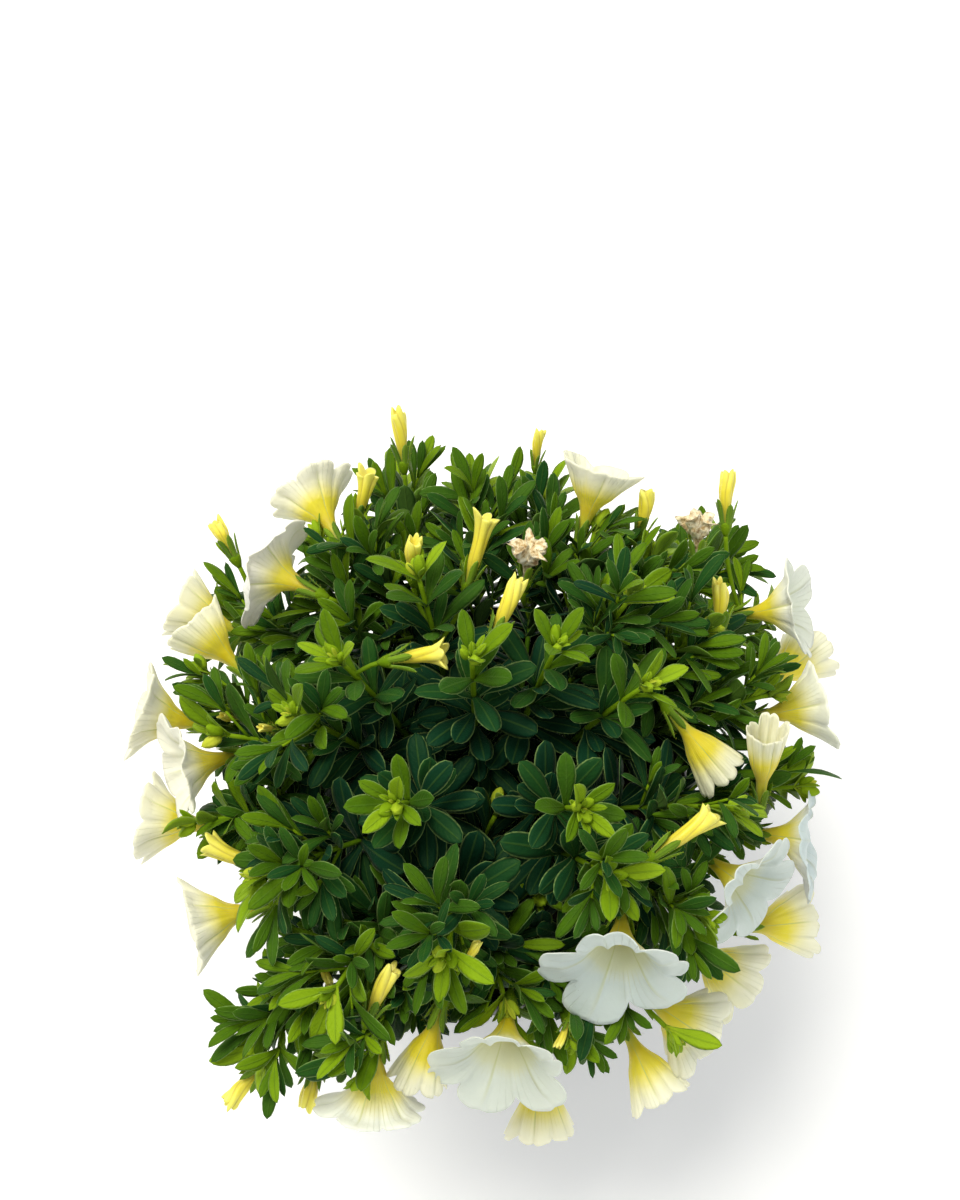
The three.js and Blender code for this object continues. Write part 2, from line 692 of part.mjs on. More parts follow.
const plant = new THREE.Group();
plant.add(part("pot", geometryOf(potSolid()), COLOURS.pot));
plant.add(part("soil", geometryOf(soilSolid(stems.map(([main]) => main))), COLOURS.soil));
stems.forEach((shoots, stem) => {
  const name = `leafy_stem_${String(stem + 1).padStart(2, "0")}`;
  plant.add(part(name, leafyStem(shoots, stem), COLOURS.foliage));
});
for (const flower of FLOWERS)
  plant.add(seatAt(part(flower.name, corollaSkin(flower), COLOURS.corolla), flower));
for (const bud of BUDS)
  plant.add(seatAt(part(bud.name, budSkin(bud.length, BUD_RADII), COLOURS.bud), bud));
for (const flower of WITHERED) {
  const mesh = part(flower.name, budSkin(flower.length, WITHERED_RADII), COLOURS.withered);
  plant.add(seatAt(mesh, flower));
}

export default plant;
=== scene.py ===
"""Looks of a potted calibrachoa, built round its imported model.

The layout is worked out in millimetres, by the rule and the seeds that the model follows, and every
piece is turned into metres when its mesh is made. Finer shapes are added, and more leaves than the
model has room for. Those of the model's leaves that hide a flower from the camera are left out.
"""

import itertools
import math
from dataclasses import dataclass
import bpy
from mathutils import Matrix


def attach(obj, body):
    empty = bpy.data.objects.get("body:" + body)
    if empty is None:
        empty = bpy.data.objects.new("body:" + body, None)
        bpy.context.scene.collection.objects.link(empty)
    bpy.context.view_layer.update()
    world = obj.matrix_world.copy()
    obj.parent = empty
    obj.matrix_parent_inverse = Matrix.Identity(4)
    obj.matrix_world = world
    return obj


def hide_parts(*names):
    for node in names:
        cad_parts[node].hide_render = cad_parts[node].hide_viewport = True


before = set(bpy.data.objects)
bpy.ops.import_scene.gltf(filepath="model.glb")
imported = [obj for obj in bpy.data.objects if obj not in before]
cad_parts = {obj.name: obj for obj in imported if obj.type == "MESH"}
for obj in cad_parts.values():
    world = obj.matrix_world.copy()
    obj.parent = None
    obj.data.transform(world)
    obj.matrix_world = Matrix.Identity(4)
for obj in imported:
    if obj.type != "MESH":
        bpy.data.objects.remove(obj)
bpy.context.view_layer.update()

from types import SimpleNamespace as Sizes

import bpy
import numpy as np
from mathutils import Vector, noise

TURN = 2 * math.pi
METRES = 0.001
X, Y, Z = np.eye(3)

# ---------------------------------------------------------------- driving dimensions, as in the model

POT = Sizes(
    rim_radius=60, neck_radius=56.5, foot_radius=43, height=95, lip_height=13, wall=1.8, lip_wall=3,
    floor=2.4, drain_radius=4, drain_circle=27, drains=5,
)
SOIL = Sizes(top=86, crown=1.5, slope=6, edge_drop=2, gap=0.35)
STEM = Sizes(
    sunk=7, base_share=0.2, base_ring=5.5, base_radius=1.3, branch_radius=0.95, tip_radius=0.8,
    bend_share=0.5, bend_rise=0.58, arch=20, branch_from=0.3, branch_bend=0.4, branch_arch=0.2,
)
DOME = Sizes(top=163, radius=95, drop=58, power=2.3)  # height of the shoot tips over the plan

# What a leaf keeps clear of: other stems, flowers, and its own stem's other leaves and shoots.
GAPS = {"other": 2.1, "flower": 2.3, "own": 1.4}
LEAF = Sizes(
    first_at=(0.22, 0.34),  # share of a main stem and of a branch where leaves begin
    pitch=12, crowding=0.85, per_whorl=4, longest=22, shortest=15.5, young_from=0.35,
    slimness=0.31, widest=0.66, stalk=0.4, sunward=0.8,
    lean=(1.25, 0.55), least_lean=0.35, bend=(0.6, 0.35), gaps=GAPS,
    # how far chance moves each leaf: turn and lean in radians, length and bend as factors
    turns=(-0.2, 0.2), leans=(-0.15, 0.15), lengths=(0.85, 1.1), bends=(0.5, 1.5),
)
# Other ways for a leaf to lie where the first is taken: added lean, share of its length.
LEAF_TRIES = [(0, 1), (-0.25, 0.92), (0.25, 0.85), (-0.4, 0.78), (0, 0.66)]
# Leaves stay above the soil, off the pot's lip and off its wall: within this radius, least height.
LEAST_HEIGHT = [(POT.neck_radius - 6, SOIL.top + 4), (POT.rim_radius + 4, POT.height + 3), (math.inf, 61)]
CLEARANCE = Sizes(cell=9, step=1.8, petal=0.4, small_bud=1)
PEDICEL = Sizes(
    radius=0.75, detour=1.6, bend=0.45,
    starts=(0.62, 0.7, 0.78, 0.86, 0.93),  # shares of a shoot where a flower's stalk may leave it
)
COROLLA = Sizes(seat=3.2, throat=14, mouth=2.6, mouth_growth=0.06, petal=13.5)
BUD_SWELL = 0.8
# What leaves stay clear of round a head: height and radius of each ring, and the rings' spacing.
KEPT_CLEAR = Sizes(tube=[(4, 1.2), (7, 1.8), (10, 2.2)], flare=12.5, bud=(2.4, 2.2), step=2.6, density=2.3)

# Where each stem's shoots end in plan, and how far below the dome where that is given. The first is
# the main stem's tip, and the others branch off it.
STEMS = [
    [(-20, -21), (-53, -34)],
    [(-2, 15), (0, 79)],
    [(19, 19), (19, 79)],
    [(41, 11), (79, 21)],
    [(31, -37), (55, -43)],
    [(24, -22), (62, -16), (85, -4)],
    [(-8, -54), (-29, -79), (4, -14, 38), (6, -60, 24)],
    [(-35, 17), (-45, 67)],
    [(-46, 4), (-66, 4), (-12, -4, 42)],
    [(-16, 42), (-24, 92)],
    [(-32, 64), (-76, 59, 15)],
    [(39, 38), (32, 66)],
    [(47, 56), (70, 75)],
    [(59, 33), (82, 52)],
    [(23, -67, 18), (48, -68, 4), (14, -34, 36)],
    [(-36, -61), (-55, -71)],
    [(-73, -17), (-74, 26)],
]

# Heads, in the order of the model's numbers: seat of the calyx, (azimuth, pitch) of the way it looks,
# then the span of a flower or the length of a bud, and the length of the petals where they are long.
FLOWERS = [
    ((27, 62, 128), (71, 31), 23), ((-38, 63, 125), (119, -5), 25), ((-42, 46, 132), (151, -9), 32),
    ((-63, 28, 112), (138, 10), 20), ((-66, 48, 95), (156, 12), 21), ((-72, 15, 110), (171, 15), 25),
    ((-61, 5, 123), (201, 14), 27), ((-68, -12, 105), (173, -2), 24), ((-53, -35, 116), (196, 2), 24),
    ((-26, -69, 118), (265, -35), 27), ((8, -58, 112), (264, 23), 33, 17), ((16, -68, 94), (272, -33), 19),
    ((37, -37, 132), (263, 17), 35, 17), ((-9, -62, 129), (249, -42), 15), ((36, -61, 102), (300, -19), 17),
    ((40, -58, 114), (336, -36), 24), ((52, -41, 104), (331, -29), 23), ((56, -23, 125), (317, 20), 29),
    ((68, -39, 99), (14, -28), 19), ((70, -13, 107), (350, 8), 31), ((72, 17, 112), (11, 5), 25),
    ((70, 50, 108), (0, 23), 27), ((81, 31, 94), (45, -17), 19), ((47, 9, 150), (319, -35), 14),
    ((75, -12, 121), (91, 54), 11),
]
BUDS = [
    ((-22, 90, 122), (96, 35), 17), ((-35, 68, 130), (70, 45), 16), ((-18, 45, 143), (90, 65), 15),
    ((-4, 44, 139), (72, 30), 21), ((2, 21, 156), (62, 30), 19), ((71, 72, 118), (91, 30), 17),
    ((44, 63, 130), (75, 35), 15), ((-71, 68, 105), (122, 35), 14), ((-26, 19, 152), (3, 20), 17),
    ((65, 33, 132), (88, 40), 16), ((41, -34, 151), (34, 12), 20), ((-53, -30, 129), (163, 5), 18),
    ((-54, -74, 105), (222, -5), 16), ((-42, -72, 106), (255, -20), 15),
]
WITHERED = [((12, 45, 140), (80, 60), 13), ((61, 58, 126), (90, 42), 13)]
# Smaller furled flowers that only show here.
SMALL_BUDS = [
    ((-29, -70, 128), (62, 38), 17), ((-5, -58, 139), (50, 35), 9), ((-65, 12, 127), (200, 60), 8),
    ((-53, 5, 139), (200, 60), 8), ((16, 90, 122), (85, 45), 12), ((-42, -50, 122), (290, 10), 8.5),
    ((23, -66, 120), (250, 10), 8.5),
]
OPENING_BUDS = (2, 4, 9, 11, 12)  # the numbers of the buds whose tips have opened further,
SHADED_FLOWERS = (10, 11, 13, 18)  # and of the flowers whose petals get a bluish white as painted shade

# The seed of the first of each kind, and the step to the next. Those of "leaves" are the model's.
SEEDS = {
    "leaves": (1000, 37), "fill": (5000, 41), "tufts": (7000, 47), "blades": (9000, 43), "soil": (77, 0),
    "flower": (300, 17), "bud": (700, 19), "small_bud": (800, 13), "withered": (900, 23),
}

# ---------------------------------------------------------------- finer looks

BLADE = Sizes(
    rows=(7, 10),  # of a short blade and of a long one
    short=13, crowding=1.25, thickness=0.5,
    stalk=0.3,  # width at the root, as a share of the full width
    fold=(0.14, 0.36),  # how far the halves stand up from the midrib, old and young
    wave=0.07,
    tilt=0.3,  # how far a blade is rolled to one side, in radians,
    twist=0.45,  # and what is added towards its tip
)
# Leaves between the model's. They stop past a share of a shoot, where that is near the middle.
FILL = Sizes(
    first_at=(0.2, 0.3), pitch=8, until=0.72, within=58, lean=(1.1, 0.5), least_lean=0.3,
    gaps={"other": 0.9, "flower": 2.0, "own": 0.7, "sight": 1.6},
    turns=(-0.3, 0.3), lengths=(0.75, 1.0),
)
# Short side shoots beyond a radius of the middle, each with two whorls of young leaves.
TUFT = Sizes(
    first_at=(0.3, 0.35), until=0.95, pitch=5.5, beyond=42, per_node=3, length=(4, 13), lean=(0.5, 1.15),
    rise=0.15, least=3, radii=(0.5, 0.35),
    whorls=[(0.7, 0.62, 1.0), (1.0, 0.25, 0.85)],  # share of the shoot, lean, share of full length
    leaves=4, leaf=(12, 19), slim=0.78, turns=(-0.3, 0.3), bends=(0.2, 0.9),
    tries=(1, 0.8, 0.62),  # shares of its length that a leaf is tried at
    gaps={"other": 0.65, "flower": 1.9, "own": 0.5, "sight": 1.6},
)
VIEW_GAPS = {"sight": 0.7}  # one of the model's leaves that lies nearer to a line of sight is left out
SIGHT_LINE = Sizes(start=9, step=3, steps=9)
# The youngest leaves and the green buds round each shoot's growing tip.
HEART = Sizes(leaves=8, turn=2.4, length=(3.5, 8), lean=(0.1, 0.75), bend=0.3, slim=0.85, rise=(2.2, 0.4))
TIP_BUDS = Sizes(count=3, turn=2.1, lean=(0.2, 0.6), length=(3.8, 6.2), rise=2, out=0.8)
SMALL_FROM = 17  # the length of the bud that a small one is scaled down from
CALYX = Sizes(
    cup=np.array([(-0.6, 0.7), (0.3, 1.1), (1.4, 1.6), (2.8, 1.9), (3.4, 1.7)]),  # height and radius
    sides=10, sepals=5, height=1.6, radius=1.35, length=10.5, width=2.1, lean=0.17, bend=0.12,
    hairs=11, hair=0.9,
)
HAIR = Sizes(radius=0.045, lengths=(0.6, 1.2))
PETAL = Sizes(
    columns=90, rows=24, thickness=0.26, lobes=5, notch=0.34,
    point=0.97,  # how sharp the notches are, under 1
    curl=(0.2, 4.6),  # how far the lowest and the highest lobe's tips curl back
    tilt=2.2,  # how far chance tips a lobe forward or back
    longer=(-0.06, 0.1),  # what chance adds to a lobe's length, as a share of it
    # how strong pleats, waves and notches are on a closed flower and on an open one
    pleats=(0.8, 1.45), waves=(0.2, 1.4), notches=(0.55, 1.15),
    trumpet=[(0.4, 0.2), (0.74, 0.46), (0.95, 0.76), (1.0, 1.0), (0.97, 1.06)],  # forward and outward
)
BUD = Sizes(rows=24, columns=60, twist=1.4, bend=0.9, opening=0.9)
FURLED_TIP = [(0.8, 0.2), (0.55, 1.2), (0.3, 2.0), (0.08, 2.4)]  # share of the crown's radius, drop
ANTHERS = Sizes(count=5, circle=1.5, span=(11.6, 13.4), radius=0.55)
WITHER = Sizes(rows=30, columns=72, crumple=0.5, folds=((5, 0.28), (8, 0.16)), ragged=2.4)
CRUMBS = Sizes(
    count=600, size=(0.5, 1.6), squash=(0.35, 0.8), rise=(0.0, 1.4),
    section=[(-0.9, 0.4), (-0.3, 1), (0.4, 0.9), (0.9, 0.35)],  # height and radius, as shares of the size
)

CAMERA = Sizes(
    target=np.array([0, 0, 125]),  # the middle of the mound, millimetres
    below_centre=165,  # how far below the picture's middle it lies, in pixels of the photograph
    distance=480, elevation=math.radians(72), pixels_per_mm=3.7,
    photo_height=1200,
    sensor=36,  # along the picture's long side, millimetres
    near=0.01,  # nothing nearer is drawn, metres
)
EYE = CAMERA.target + CAMERA.distance * (math.sin(CAMERA.elevation) * Z - math.cos(CAMERA.elevation) * Y)
# Lamps in metres and watts: name, place, width, power, colour. They all look at the mound.
LAMPS = [
    ("key", (-0.75, 0.7, 2.3), 1.9, 70, (1, 0.97, 0.88)),
    ("fill", (1.5, -1.2, 1.5), 2.2, 14, (0.9, 0.95, 1)),
]
LIT = Vector((0, 0, 0.12))
FLOOR = Sizes(half=12000, sunk=0.0002)  # half its width in millimetres, and metres below the pot

# ---------------------------------------------------------------- small helpers


def mix(a, b, share):
    return a + (b - a) * share


def smooth(low, high, value):
    t = np.clip((value - low) / (high - low), 0, 1)
    return t * t * (3 - 2 * t)


def unit(v):
    return v / np.linalg.norm(v)


def random_for(kind, number=0):
    """A repeatable stream of numbers between low and high, drawn as the model draws its own."""
    first, step = SEEDS[kind]
    state = first + step * number

    def draw(low, high):
        nonlocal state
        state = state * 16807 % 2147483647
        return mix(low, high, state / 2147483647)

    return draw


def around(side, up, angle):
    """Unit directions at some angles round an axis."""
    angle = np.asarray(angle)[..., None]
    return side * np.cos(angle) + up * np.sin(angle)


def leaning(heading, out, lean):
    return heading * math.cos(lean) + out * math.sin(lean)


def full_turn(count):
    return TURN * np.arange(count) / count


def ring(centre, side, up, radius, turns):
    return centre + around(side, up, turns) * np.asarray(radius)[..., None]


def turned(profile, turns, centre=0, axes=(X, Y, Z)):
    """Rings round the last of the axes, one for each height and radius of a profile."""
    side, up, axis = axes
    return np.array([ring(centre + axis * height, side, up, radius, turns) for height, radius in profile])


def polar(radius, height, turns):
    return np.stack([radius * np.cos(turns), radius * np.sin(turns), height], axis=-1)


@dataclass
class Path:
    """A quadratic Bezier curve that a stem, a side shoot or a flower's stalk follows."""

    start: np.ndarray
    bend: np.ndarray
    end: np.ndarray
    stem: int
    number: int = -2  # a side shoot's leaves start on no path that others could share
    branch: bool = False

    def point(self, t):
        return (1 - t) ** 2 * self.start + 2 * (1 - t) * t * self.bend + t * t * self.end

    def heading(self, t):
        step = 0.0001
        return unit(self.point(min(1, t + step)) - self.point(max(0, t - step)))

    def length(self):
        points = self.point(np.linspace(0, 1, 201)[:, None])
        return float(np.linalg.norm(np.diff(points, axis=0), axis=1).sum())

    def frame(self, t):
        """The point at share t, the heading there, and two directions square to it."""
        run = self.end - self.start
        heading = self.heading(t)
        up = unit(np.cross(heading, (-run[1], run[0], 0)))
        return self.point(t), heading, np.cross(up, heading), up


def head_axes(aim):
    """The three axes of a flower that looks the way aim gives, as rows. It grows along the last."""
    azimuth, pitch = map(math.radians, aim)
    axis = leaning(around(X, Y, azimuth), Z, pitch)
    side = unit(np.cross(Z, axis))
    return np.array([side, np.cross(axis, side), axis])


# ---------------------------------------------------------------- layout: stems


def tip_point(plan):
    x, y, *below = plan
    drop = DOME.drop * (math.hypot(x, y) / DOME.radius) ** DOME.power
    return np.array([x, y, DOME.top - drop - sum(below)])


def main_path(plan, stem):
    """A main stem rises out of the soil near the middle and arches out to its tip."""
    end = tip_point(plan)
    foot = SOIL.top - STEM.sunk
    radius = math.hypot(end[0], end[1])
    share = STEM.base_share + STEM.base_ring / radius
    lift = STEM.arch * (radius / DOME.radius) ** 2
    start = np.array([end[0] * share, end[1] * share, foot])
    over = mix(foot, end[2], STEM.bend_rise) + lift
    return Path(start, np.array([end[0] * STEM.bend_share, end[1] * STEM.bend_share, over]), end, stem)


def branch_path(main, plan):
    start, end = main.point(STEM.branch_from), tip_point(plan)
    bend = mix(start, end, STEM.branch_bend)
    bend[2] += STEM.branch_arch * np.linalg.norm(end - start)
    return Path(start, bend, end, main.stem, branch=True)


def shoots_of(plans, stem):
    main = main_path(plans[0], stem)
    return [main] + [branch_path(main, plan) for plan in plans[1:]]


# ---------------------------------------------------------------- layout: what leaves keep clear of

FLOWER = -1  # the stem number of what belongs to no stem
SIGHT = -2  # and of the free view that each flower keeps
LEAVES = -1  # the path number of a leaf's points


class Occupied:
    """Points that stand for the surfaces already placed, found again by the cell that they lie in."""

    def __init__(self, capacity=400000):
        self.points = np.zeros((capacity, 3))
        self.stem = np.zeros(capacity, int)
        self.path = np.zeros(capacity, int)
        self.radius = np.zeros(capacity)
        self.count = 0
        self.cells = {}

    def add(self, points, stem, path=LEAVES, radius=0.0):
        new = slice(self.count, self.count + len(points))
        self.points[new] = points
        self.stem[new] = stem
        self.path[new] = path
        self.radius[new] = radius
        for number, key in enumerate(np.floor(points / CLEARANCE.cell).astype(int).tolist(), self.count):
            self.cells.setdefault(tuple(key), []).append(number)
        self.count = new.stop

    def add_path(self, path, radius):
        steps = math.ceil(path.length() / CLEARANCE.step)
        self.add(path.point(np.linspace(0, 1, steps + 1)[:, None]), path.stem, path.number, radius)

    def blocked(self, points, path, gaps):
        """Whether points on a path come nearer to anything than the gap for its kind, where there is one."""
        reach = max(gaps.values()) + STEM.base_radius
        low, high = points.min(0) - reach, points.max(0) + reach
        corners = np.floor([low / CLEARANCE.cell, high / CLEARANCE.cell]).astype(int)
        spans = [range(a, b + 1) for a, b in zip(*corners)]
        near = np.array([n for key in itertools.product(*spans) for n in self.cells.get(key, ())], int)
        inside = ((self.points[near] > low) & (self.points[near] < high)).all(1)
        near = near[(self.path[near] != path.number) & inside]
        if not len(near):
            return False
        stems = self.stem[near]
        *known, other = (gaps.get(kind, -math.inf) for kind in ("own", "flower", "sight", "other"))
        gap = np.select([stems == path.stem, stems == FLOWER, stems == SIGHT], known, other)
        apart = np.linalg.norm(points[:, None] - self.points[near][None], axis=2)
        return bool((apart < gap + self.radius[near]).any())


# ---------------------------------------------------------------- layout: leaves


@dataclass
class Leaf:
    root: np.ndarray
    heading: np.ndarray
    face: np.ndarray
    length: float
    bend: float
    width: float
    young: float  # 1 at the tip of a shoot, 0 for the oldest leaves
    stalk: float = BLADE.stalk

    @property
    def side(self):
        return np.cross(self.face, self.heading)

    def rib(self, t):
        """Points along the midrib, which bends back in an arc."""
        turn = self.bend * t[:, None]
        along = self.heading * np.sin(turn) + self.face * (np.cos(turn) - 1)
        return self.root + along * self.length / self.bend

    def normal(self, t):
        turn = self.bend * t[:, None]
        return self.face * np.cos(turn) + self.heading * np.sin(turn)


def leaf_at(path, t, angle, lean, length, bend, young):
    """A leaf at share t of a path, with its face turned up towards the light."""
    centre, heading, side, up = path.frame(t)
    way = leaning(heading, around(side, up, angle), lean)
    face = heading + LEAF.sunward * Z
    face = unit(face - way * face.dot(way))
    return Leaf(centre, way, face, length, bend, length * LEAF.slimness, young)


ALONG = np.array([0.3, 0.42, 0.54, LEAF.widest, 0.78, 0.9, 1.0])
ACROSS = np.array([-1, -0.5, 0, 0.5, 1])
PLAIN_WIDTH = np.where(
    ALONG < LEAF.widest,
    LEAF.stalk + (1 - LEAF.stalk) * ALONG / LEAF.widest,
    (1 - ALONG) / (1 - LEAF.widest),
)


def leaf_points(leaf):
    """Points over the plain blade that stand for it in the layout."""
    half = 0.5 * leaf.width * PLAIN_WIDTH
    points = leaf.rib(ALONG)[:, None] + leaf.side * (half[:, None] * ACROSS)[..., None]
    return points.reshape(-1, 3)


def has_room(leaf, path, occupied, gaps):
    points = leaf_points(leaf)
    radius = np.hypot(points[:, 0], points[:, 1])
    least = np.select([radius < within for within, _ in LEAST_HEIGHT], [height for _, height in LEAST_HEIGHT])
    return bool((points[:, 2] > least).all()) and not occupied.blocked(points, path, gaps)


def whorl(path, t, share, turn, shift, rule, occupied, random):
    """The leaves of one whorl that find room, each at the first try that does."""
    placed = []
    young = max(0, (share - LEAF.young_from) / (1 - LEAF.young_from))
    for j in range(LEAF.per_whorl):
        angle = turn + (shift + j) * TURN / LEAF.per_whorl + random(*rule.turns)
        length = mix(LEAF.longest, LEAF.shortest, young) * random(*rule.lengths)
        lean = mix(*rule.lean, share) + random(*LEAF.leans)
        bend = mix(*LEAF.bend, share) * random(*LEAF.bends)
        for tilt, shrink in LEAF_TRIES:
            leaf = leaf_at(path, t, angle, max(rule.least_lean, lean + tilt), length * shrink, bend, young)
            if has_room(leaf, path, occupied, rule.gaps):
                occupied.add(leaf_points(leaf), path.stem)
                placed.append(leaf)
                break
    return placed


def model_leaves(path, occupied, random):
    """The leaves of a shoot that the model has too."""
    placed = []
    first = LEAF.first_at[path.branch]
    count = math.floor(path.length() * (1 - first) / LEAF.pitch + 0.5) + 2
    turn = random(0, TURN)
    for i in range(count):
        share = i / (count - 1)
        t = mix(first, 1, share**LEAF.crowding)
        placed += whorl(path, t, share, turn, i / 2, LEAF, occupied, random)
    return placed


def fill_leaves(path, occupied, random):
    """More leaves between those, wherever a smaller gap is left."""
    placed = []
    first = FILL.first_at[path.branch]
    count = math.floor(path.length() * (1 - first) / FILL.pitch)
    for i in range(count):
        share = (i + 0.5) / count
        spot = path.point(share)
        if share > FILL.until and math.hypot(spot[0], spot[1]) < FILL.within:
            break
        placed += whorl(path, mix(first, 1, share), share, random(0, TURN), 0, FILL, occupied, random)
    return placed


def tufts_of(path, occupied, random):
    """Short side shoots in the axils, where enough of their leaves find room: pairs of path and leaves."""
    tufts = []
    first = TUFT.first_at[path.branch]
    count = math.floor(path.length() * (1 - first) / TUFT.pitch)
    for i in range(count):
        centre, heading, side, up = path.frame(mix(first, TUFT.until, (i + 0.5) / count))
        turn = random(0, TURN)
        if math.hypot(centre[0], centre[1]) < TUFT.beyond:
            continue
        for j in range(TUFT.per_node):
            out = around(side, up, turn + j * TURN / TUFT.per_node)
            way = leaning(heading, out, random(*TUFT.lean))
            length = random(*TUFT.length)
            end = centre + way * length + TUFT.rise * length * Z
            sprig = Path(centre, centre + way * 0.5 * length, end, path.stem)
            leaves = sprig_leaves(sprig, occupied, random)
            if len(leaves) < TUFT.least:
                continue
            tufts.append((sprig, leaves))
            for leaf in leaves:
                occupied.add(leaf_points(leaf), path.stem)
    return tufts


def sprig_leaves(sprig, occupied, random):
    """The leaves of one side shoot that find room."""
    leaves = []
    turn = random(0, TURN)
    for t, upright, grown in TUFT.whorls:
        for j in range(TUFT.leaves):
            angle = turn + (j + 2 * t) * TURN / TUFT.leaves + random(*TUFT.turns)
            length = random(*TUFT.leaf) * grown
            lean = upright + random(*LEAF.leans)
            bend = random(*TUFT.bends)
            young = mix(0.95, 0.6, grown) + random(-0.25, 0.15)
            for shrink in TUFT.tries:
                leaf = leaf_at(sprig, t, angle, lean, length * shrink, bend, young)
                leaf.width *= TUFT.slim
                if has_room(leaf, sprig, occupied, TUFT.gaps):
                    leaves.append(leaf)
                    break
    return leaves


def heart_leaves(path, random):
    """The youngest leaves, packed round a shoot's growing tip."""
    placed = []
    for i in range(HEART.leaves):
        share = i / (HEART.leaves - 1)
        length = mix(*HEART.length, share) * random(0.8, 1.2)
        angle = i * HEART.turn + random(-0.3, 0.3)
        leaf = leaf_at(path, 1, angle, mix(*HEART.lean, share), length, HEART.bend, mix(1.3, 1.0, share))
        leaf.root = leaf.root + path.heading(1) * mix(*HEART.rise, share)
        leaf.width *= HEART.slim
        placed.append(leaf)
    return placed


# ---------------------------------------------------------------- layout: flowers


def mouth_radius(span):
    return COROLLA.mouth + COROLLA.mouth_growth * span


def limb_run(span, petal=COROLLA.petal):
    """How far the limb runs out and forward of the mouth."""
    out = span / 2 - mouth_radius(span)
    return out, math.sqrt(petal**2 - out**2)


def head_points(head, is_flower):
    """Points over a corolla or bud that leaves stay clear of."""
    seat, aim, size, *petal = head
    rings = list(KEPT_CLEAR.tube)
    if is_flower:
        mouth = mouth_radius(size)
        out, forward = limb_run(size, *petal)
        bands = math.ceil(math.hypot(out, forward) / KEPT_CLEAR.step)
        rings.append((KEPT_CLEAR.flare, mix(rings[-1][1], mouth, 0.5)))
        rings += [(COROLLA.throat + forward * i / bands, mouth + out * i / bands) for i in range(bands + 1)]
    else:
        rings += [(BUD_SWELL * size, KEPT_CLEAR.bud[0]), (size, KEPT_CLEAR.bud[1])]
    side, up, axis = head_axes(aim)
    points = []
    for height, radius in rings:
        turns = full_turn(max(5, math.floor(radius * KEPT_CLEAR.density + 0.5)))
        points.append(ring(np.array(seat) + axis * height, side, up, radius, turns))
    return np.concatenate(points)


def sight_points(head, is_flower):
    """Points on the way from a flower's petals up to the eye, which leaves leave free."""
    points = head_points(head, is_flower)
    start = min(SIGHT_LINE.start, 0.5 * head[2])
    petals = points[np.linalg.norm(points - np.array(head[0]), axis=1) > start]
    ways = EYE - petals
    ways /= np.linalg.norm(ways, axis=1, keepdims=True)
    steps = SIGHT_LINE.step * np.arange(1, SIGHT_LINE.steps + 1)
    return (petals[:, None] + ways[:, None] * steps[:, None]).reshape(-1, 3)


def pedicel_of(head, shoots):
    """The stalk of a head, from the place on a shoot that it reaches most directly."""
    seat, axis = np.array(head[0], float), head_axes(head[1])[2]

    def cost(place):
        run = seat - place[0].point(place[1])
        return np.linalg.norm(run) * (PEDICEL.detour - unit(run).dot(axis))

    shoot, t = min(itertools.product(shoots, PEDICEL.starts), key=cost)
    start = shoot.point(t)
    length = np.linalg.norm(seat - start)
    return Path(start, seat - axis * PEDICEL.bend * length, seat, shoot.stem)


# ---------------------------------------------------------------- meshes


def linked(name, data):
    made = bpy.data.objects.new(name, data)
    bpy.context.scene.collection.objects.link(made)
    return made


class Surface:
    """Gathers the points and faces of one piece, with named values at each point."""

    def __init__(self, *names):
        self.points = []
        self.faces = []
        self.values = {name: [] for name in names}
        self.count = 0

    def add(self, points, faces, **values):
        shape = points.shape[:-1]
        self.points.append(points.reshape(-1, 3))
        for face in faces:
            self.faces.extend((np.asarray(face) + self.count).tolist())
        for name, kept in self.values.items():
            kept.append(np.broadcast_to(np.asarray(values.get(name, 0.0), float), shape).ravel())
        self.count += math.prod(shape)

    def loft(self, grid, **values):
        """A closed body from rings of points, each of the same count, with its two ends capped.
        Seen from outside, the rings run away from you as their points turn clockwise."""
        rows, columns = grid.shape[:2]
        number = np.arange(rows * columns).reshape(rows, columns)
        on = np.roll(number, -1, axis=1)
        quads = np.stack([number[:-1], on[:-1], on[1:], number[1:]], axis=-1).reshape(-1, 4)
        self.add(grid, [quads, [number[0, ::-1]], [number[-1]]], **values)

    def build(self, name, material, smooth_faces=False):
        mesh = bpy.data.meshes.new(name)
        mesh.from_pydata(np.concatenate(self.points) * METRES, [], self.faces)
        for value, kept in self.values.items():
            mesh.attributes.new(value, "FLOAT", "POINT").data.foreach_set("value", np.concatenate(kept))
        mesh.polygons.foreach_set("use_smooth", [smooth_faces] * len(mesh.polygons))
        mesh.materials.append(material)
        return linked(name, mesh)

    def piece(self, name, material, node, slot, smooth_faces=True):
        """The finished object, which rides on the one body and stands for its node, where it has one."""
        piece = self.build(name, material, smooth_faces)
        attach(piece, "root")
        if node:
            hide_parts(node)
        return piece


# ---------------------------------------------------------------- leaves and stems

# Round the section of a blade: left edge, upper face, right edge, under face.
SECTION = np.array([-1, -0.55, 0, 0.55, 1, 0.55, 0, -0.55])
RISE = np.array([0, 0.8, 1, 0.8, 0, -0.8, -1, -0.8])
UNDER = np.array([0, 0, 0, 0, 0, 1, 1, 1])


def blade_rows(length):
    """Where the sections of a blade lie along it, closer together towards its tip."""
    count = BLADE.rows[length > BLADE.short]
    return 1 - (1 - np.linspace(0, 1, count)) ** BLADE.crowding


def blade_width(t, stalk, young):
    """Half width of a spatulate blade: a slim base, widest past its middle, then an end that is
    round on an old leaf and more pointed on a young one."""
    widening = stalk + (1 - stalk) * smooth(0, 1, t / LEAF.widest) ** 1.15
    past = np.clip((t - LEAF.widest) / (1 - LEAF.widest), 0, 1)
    return widening * np.maximum(1 - past ** mix(2.5, 1.7, young), 0.0006) ** mix(0.5, 0.64, young)


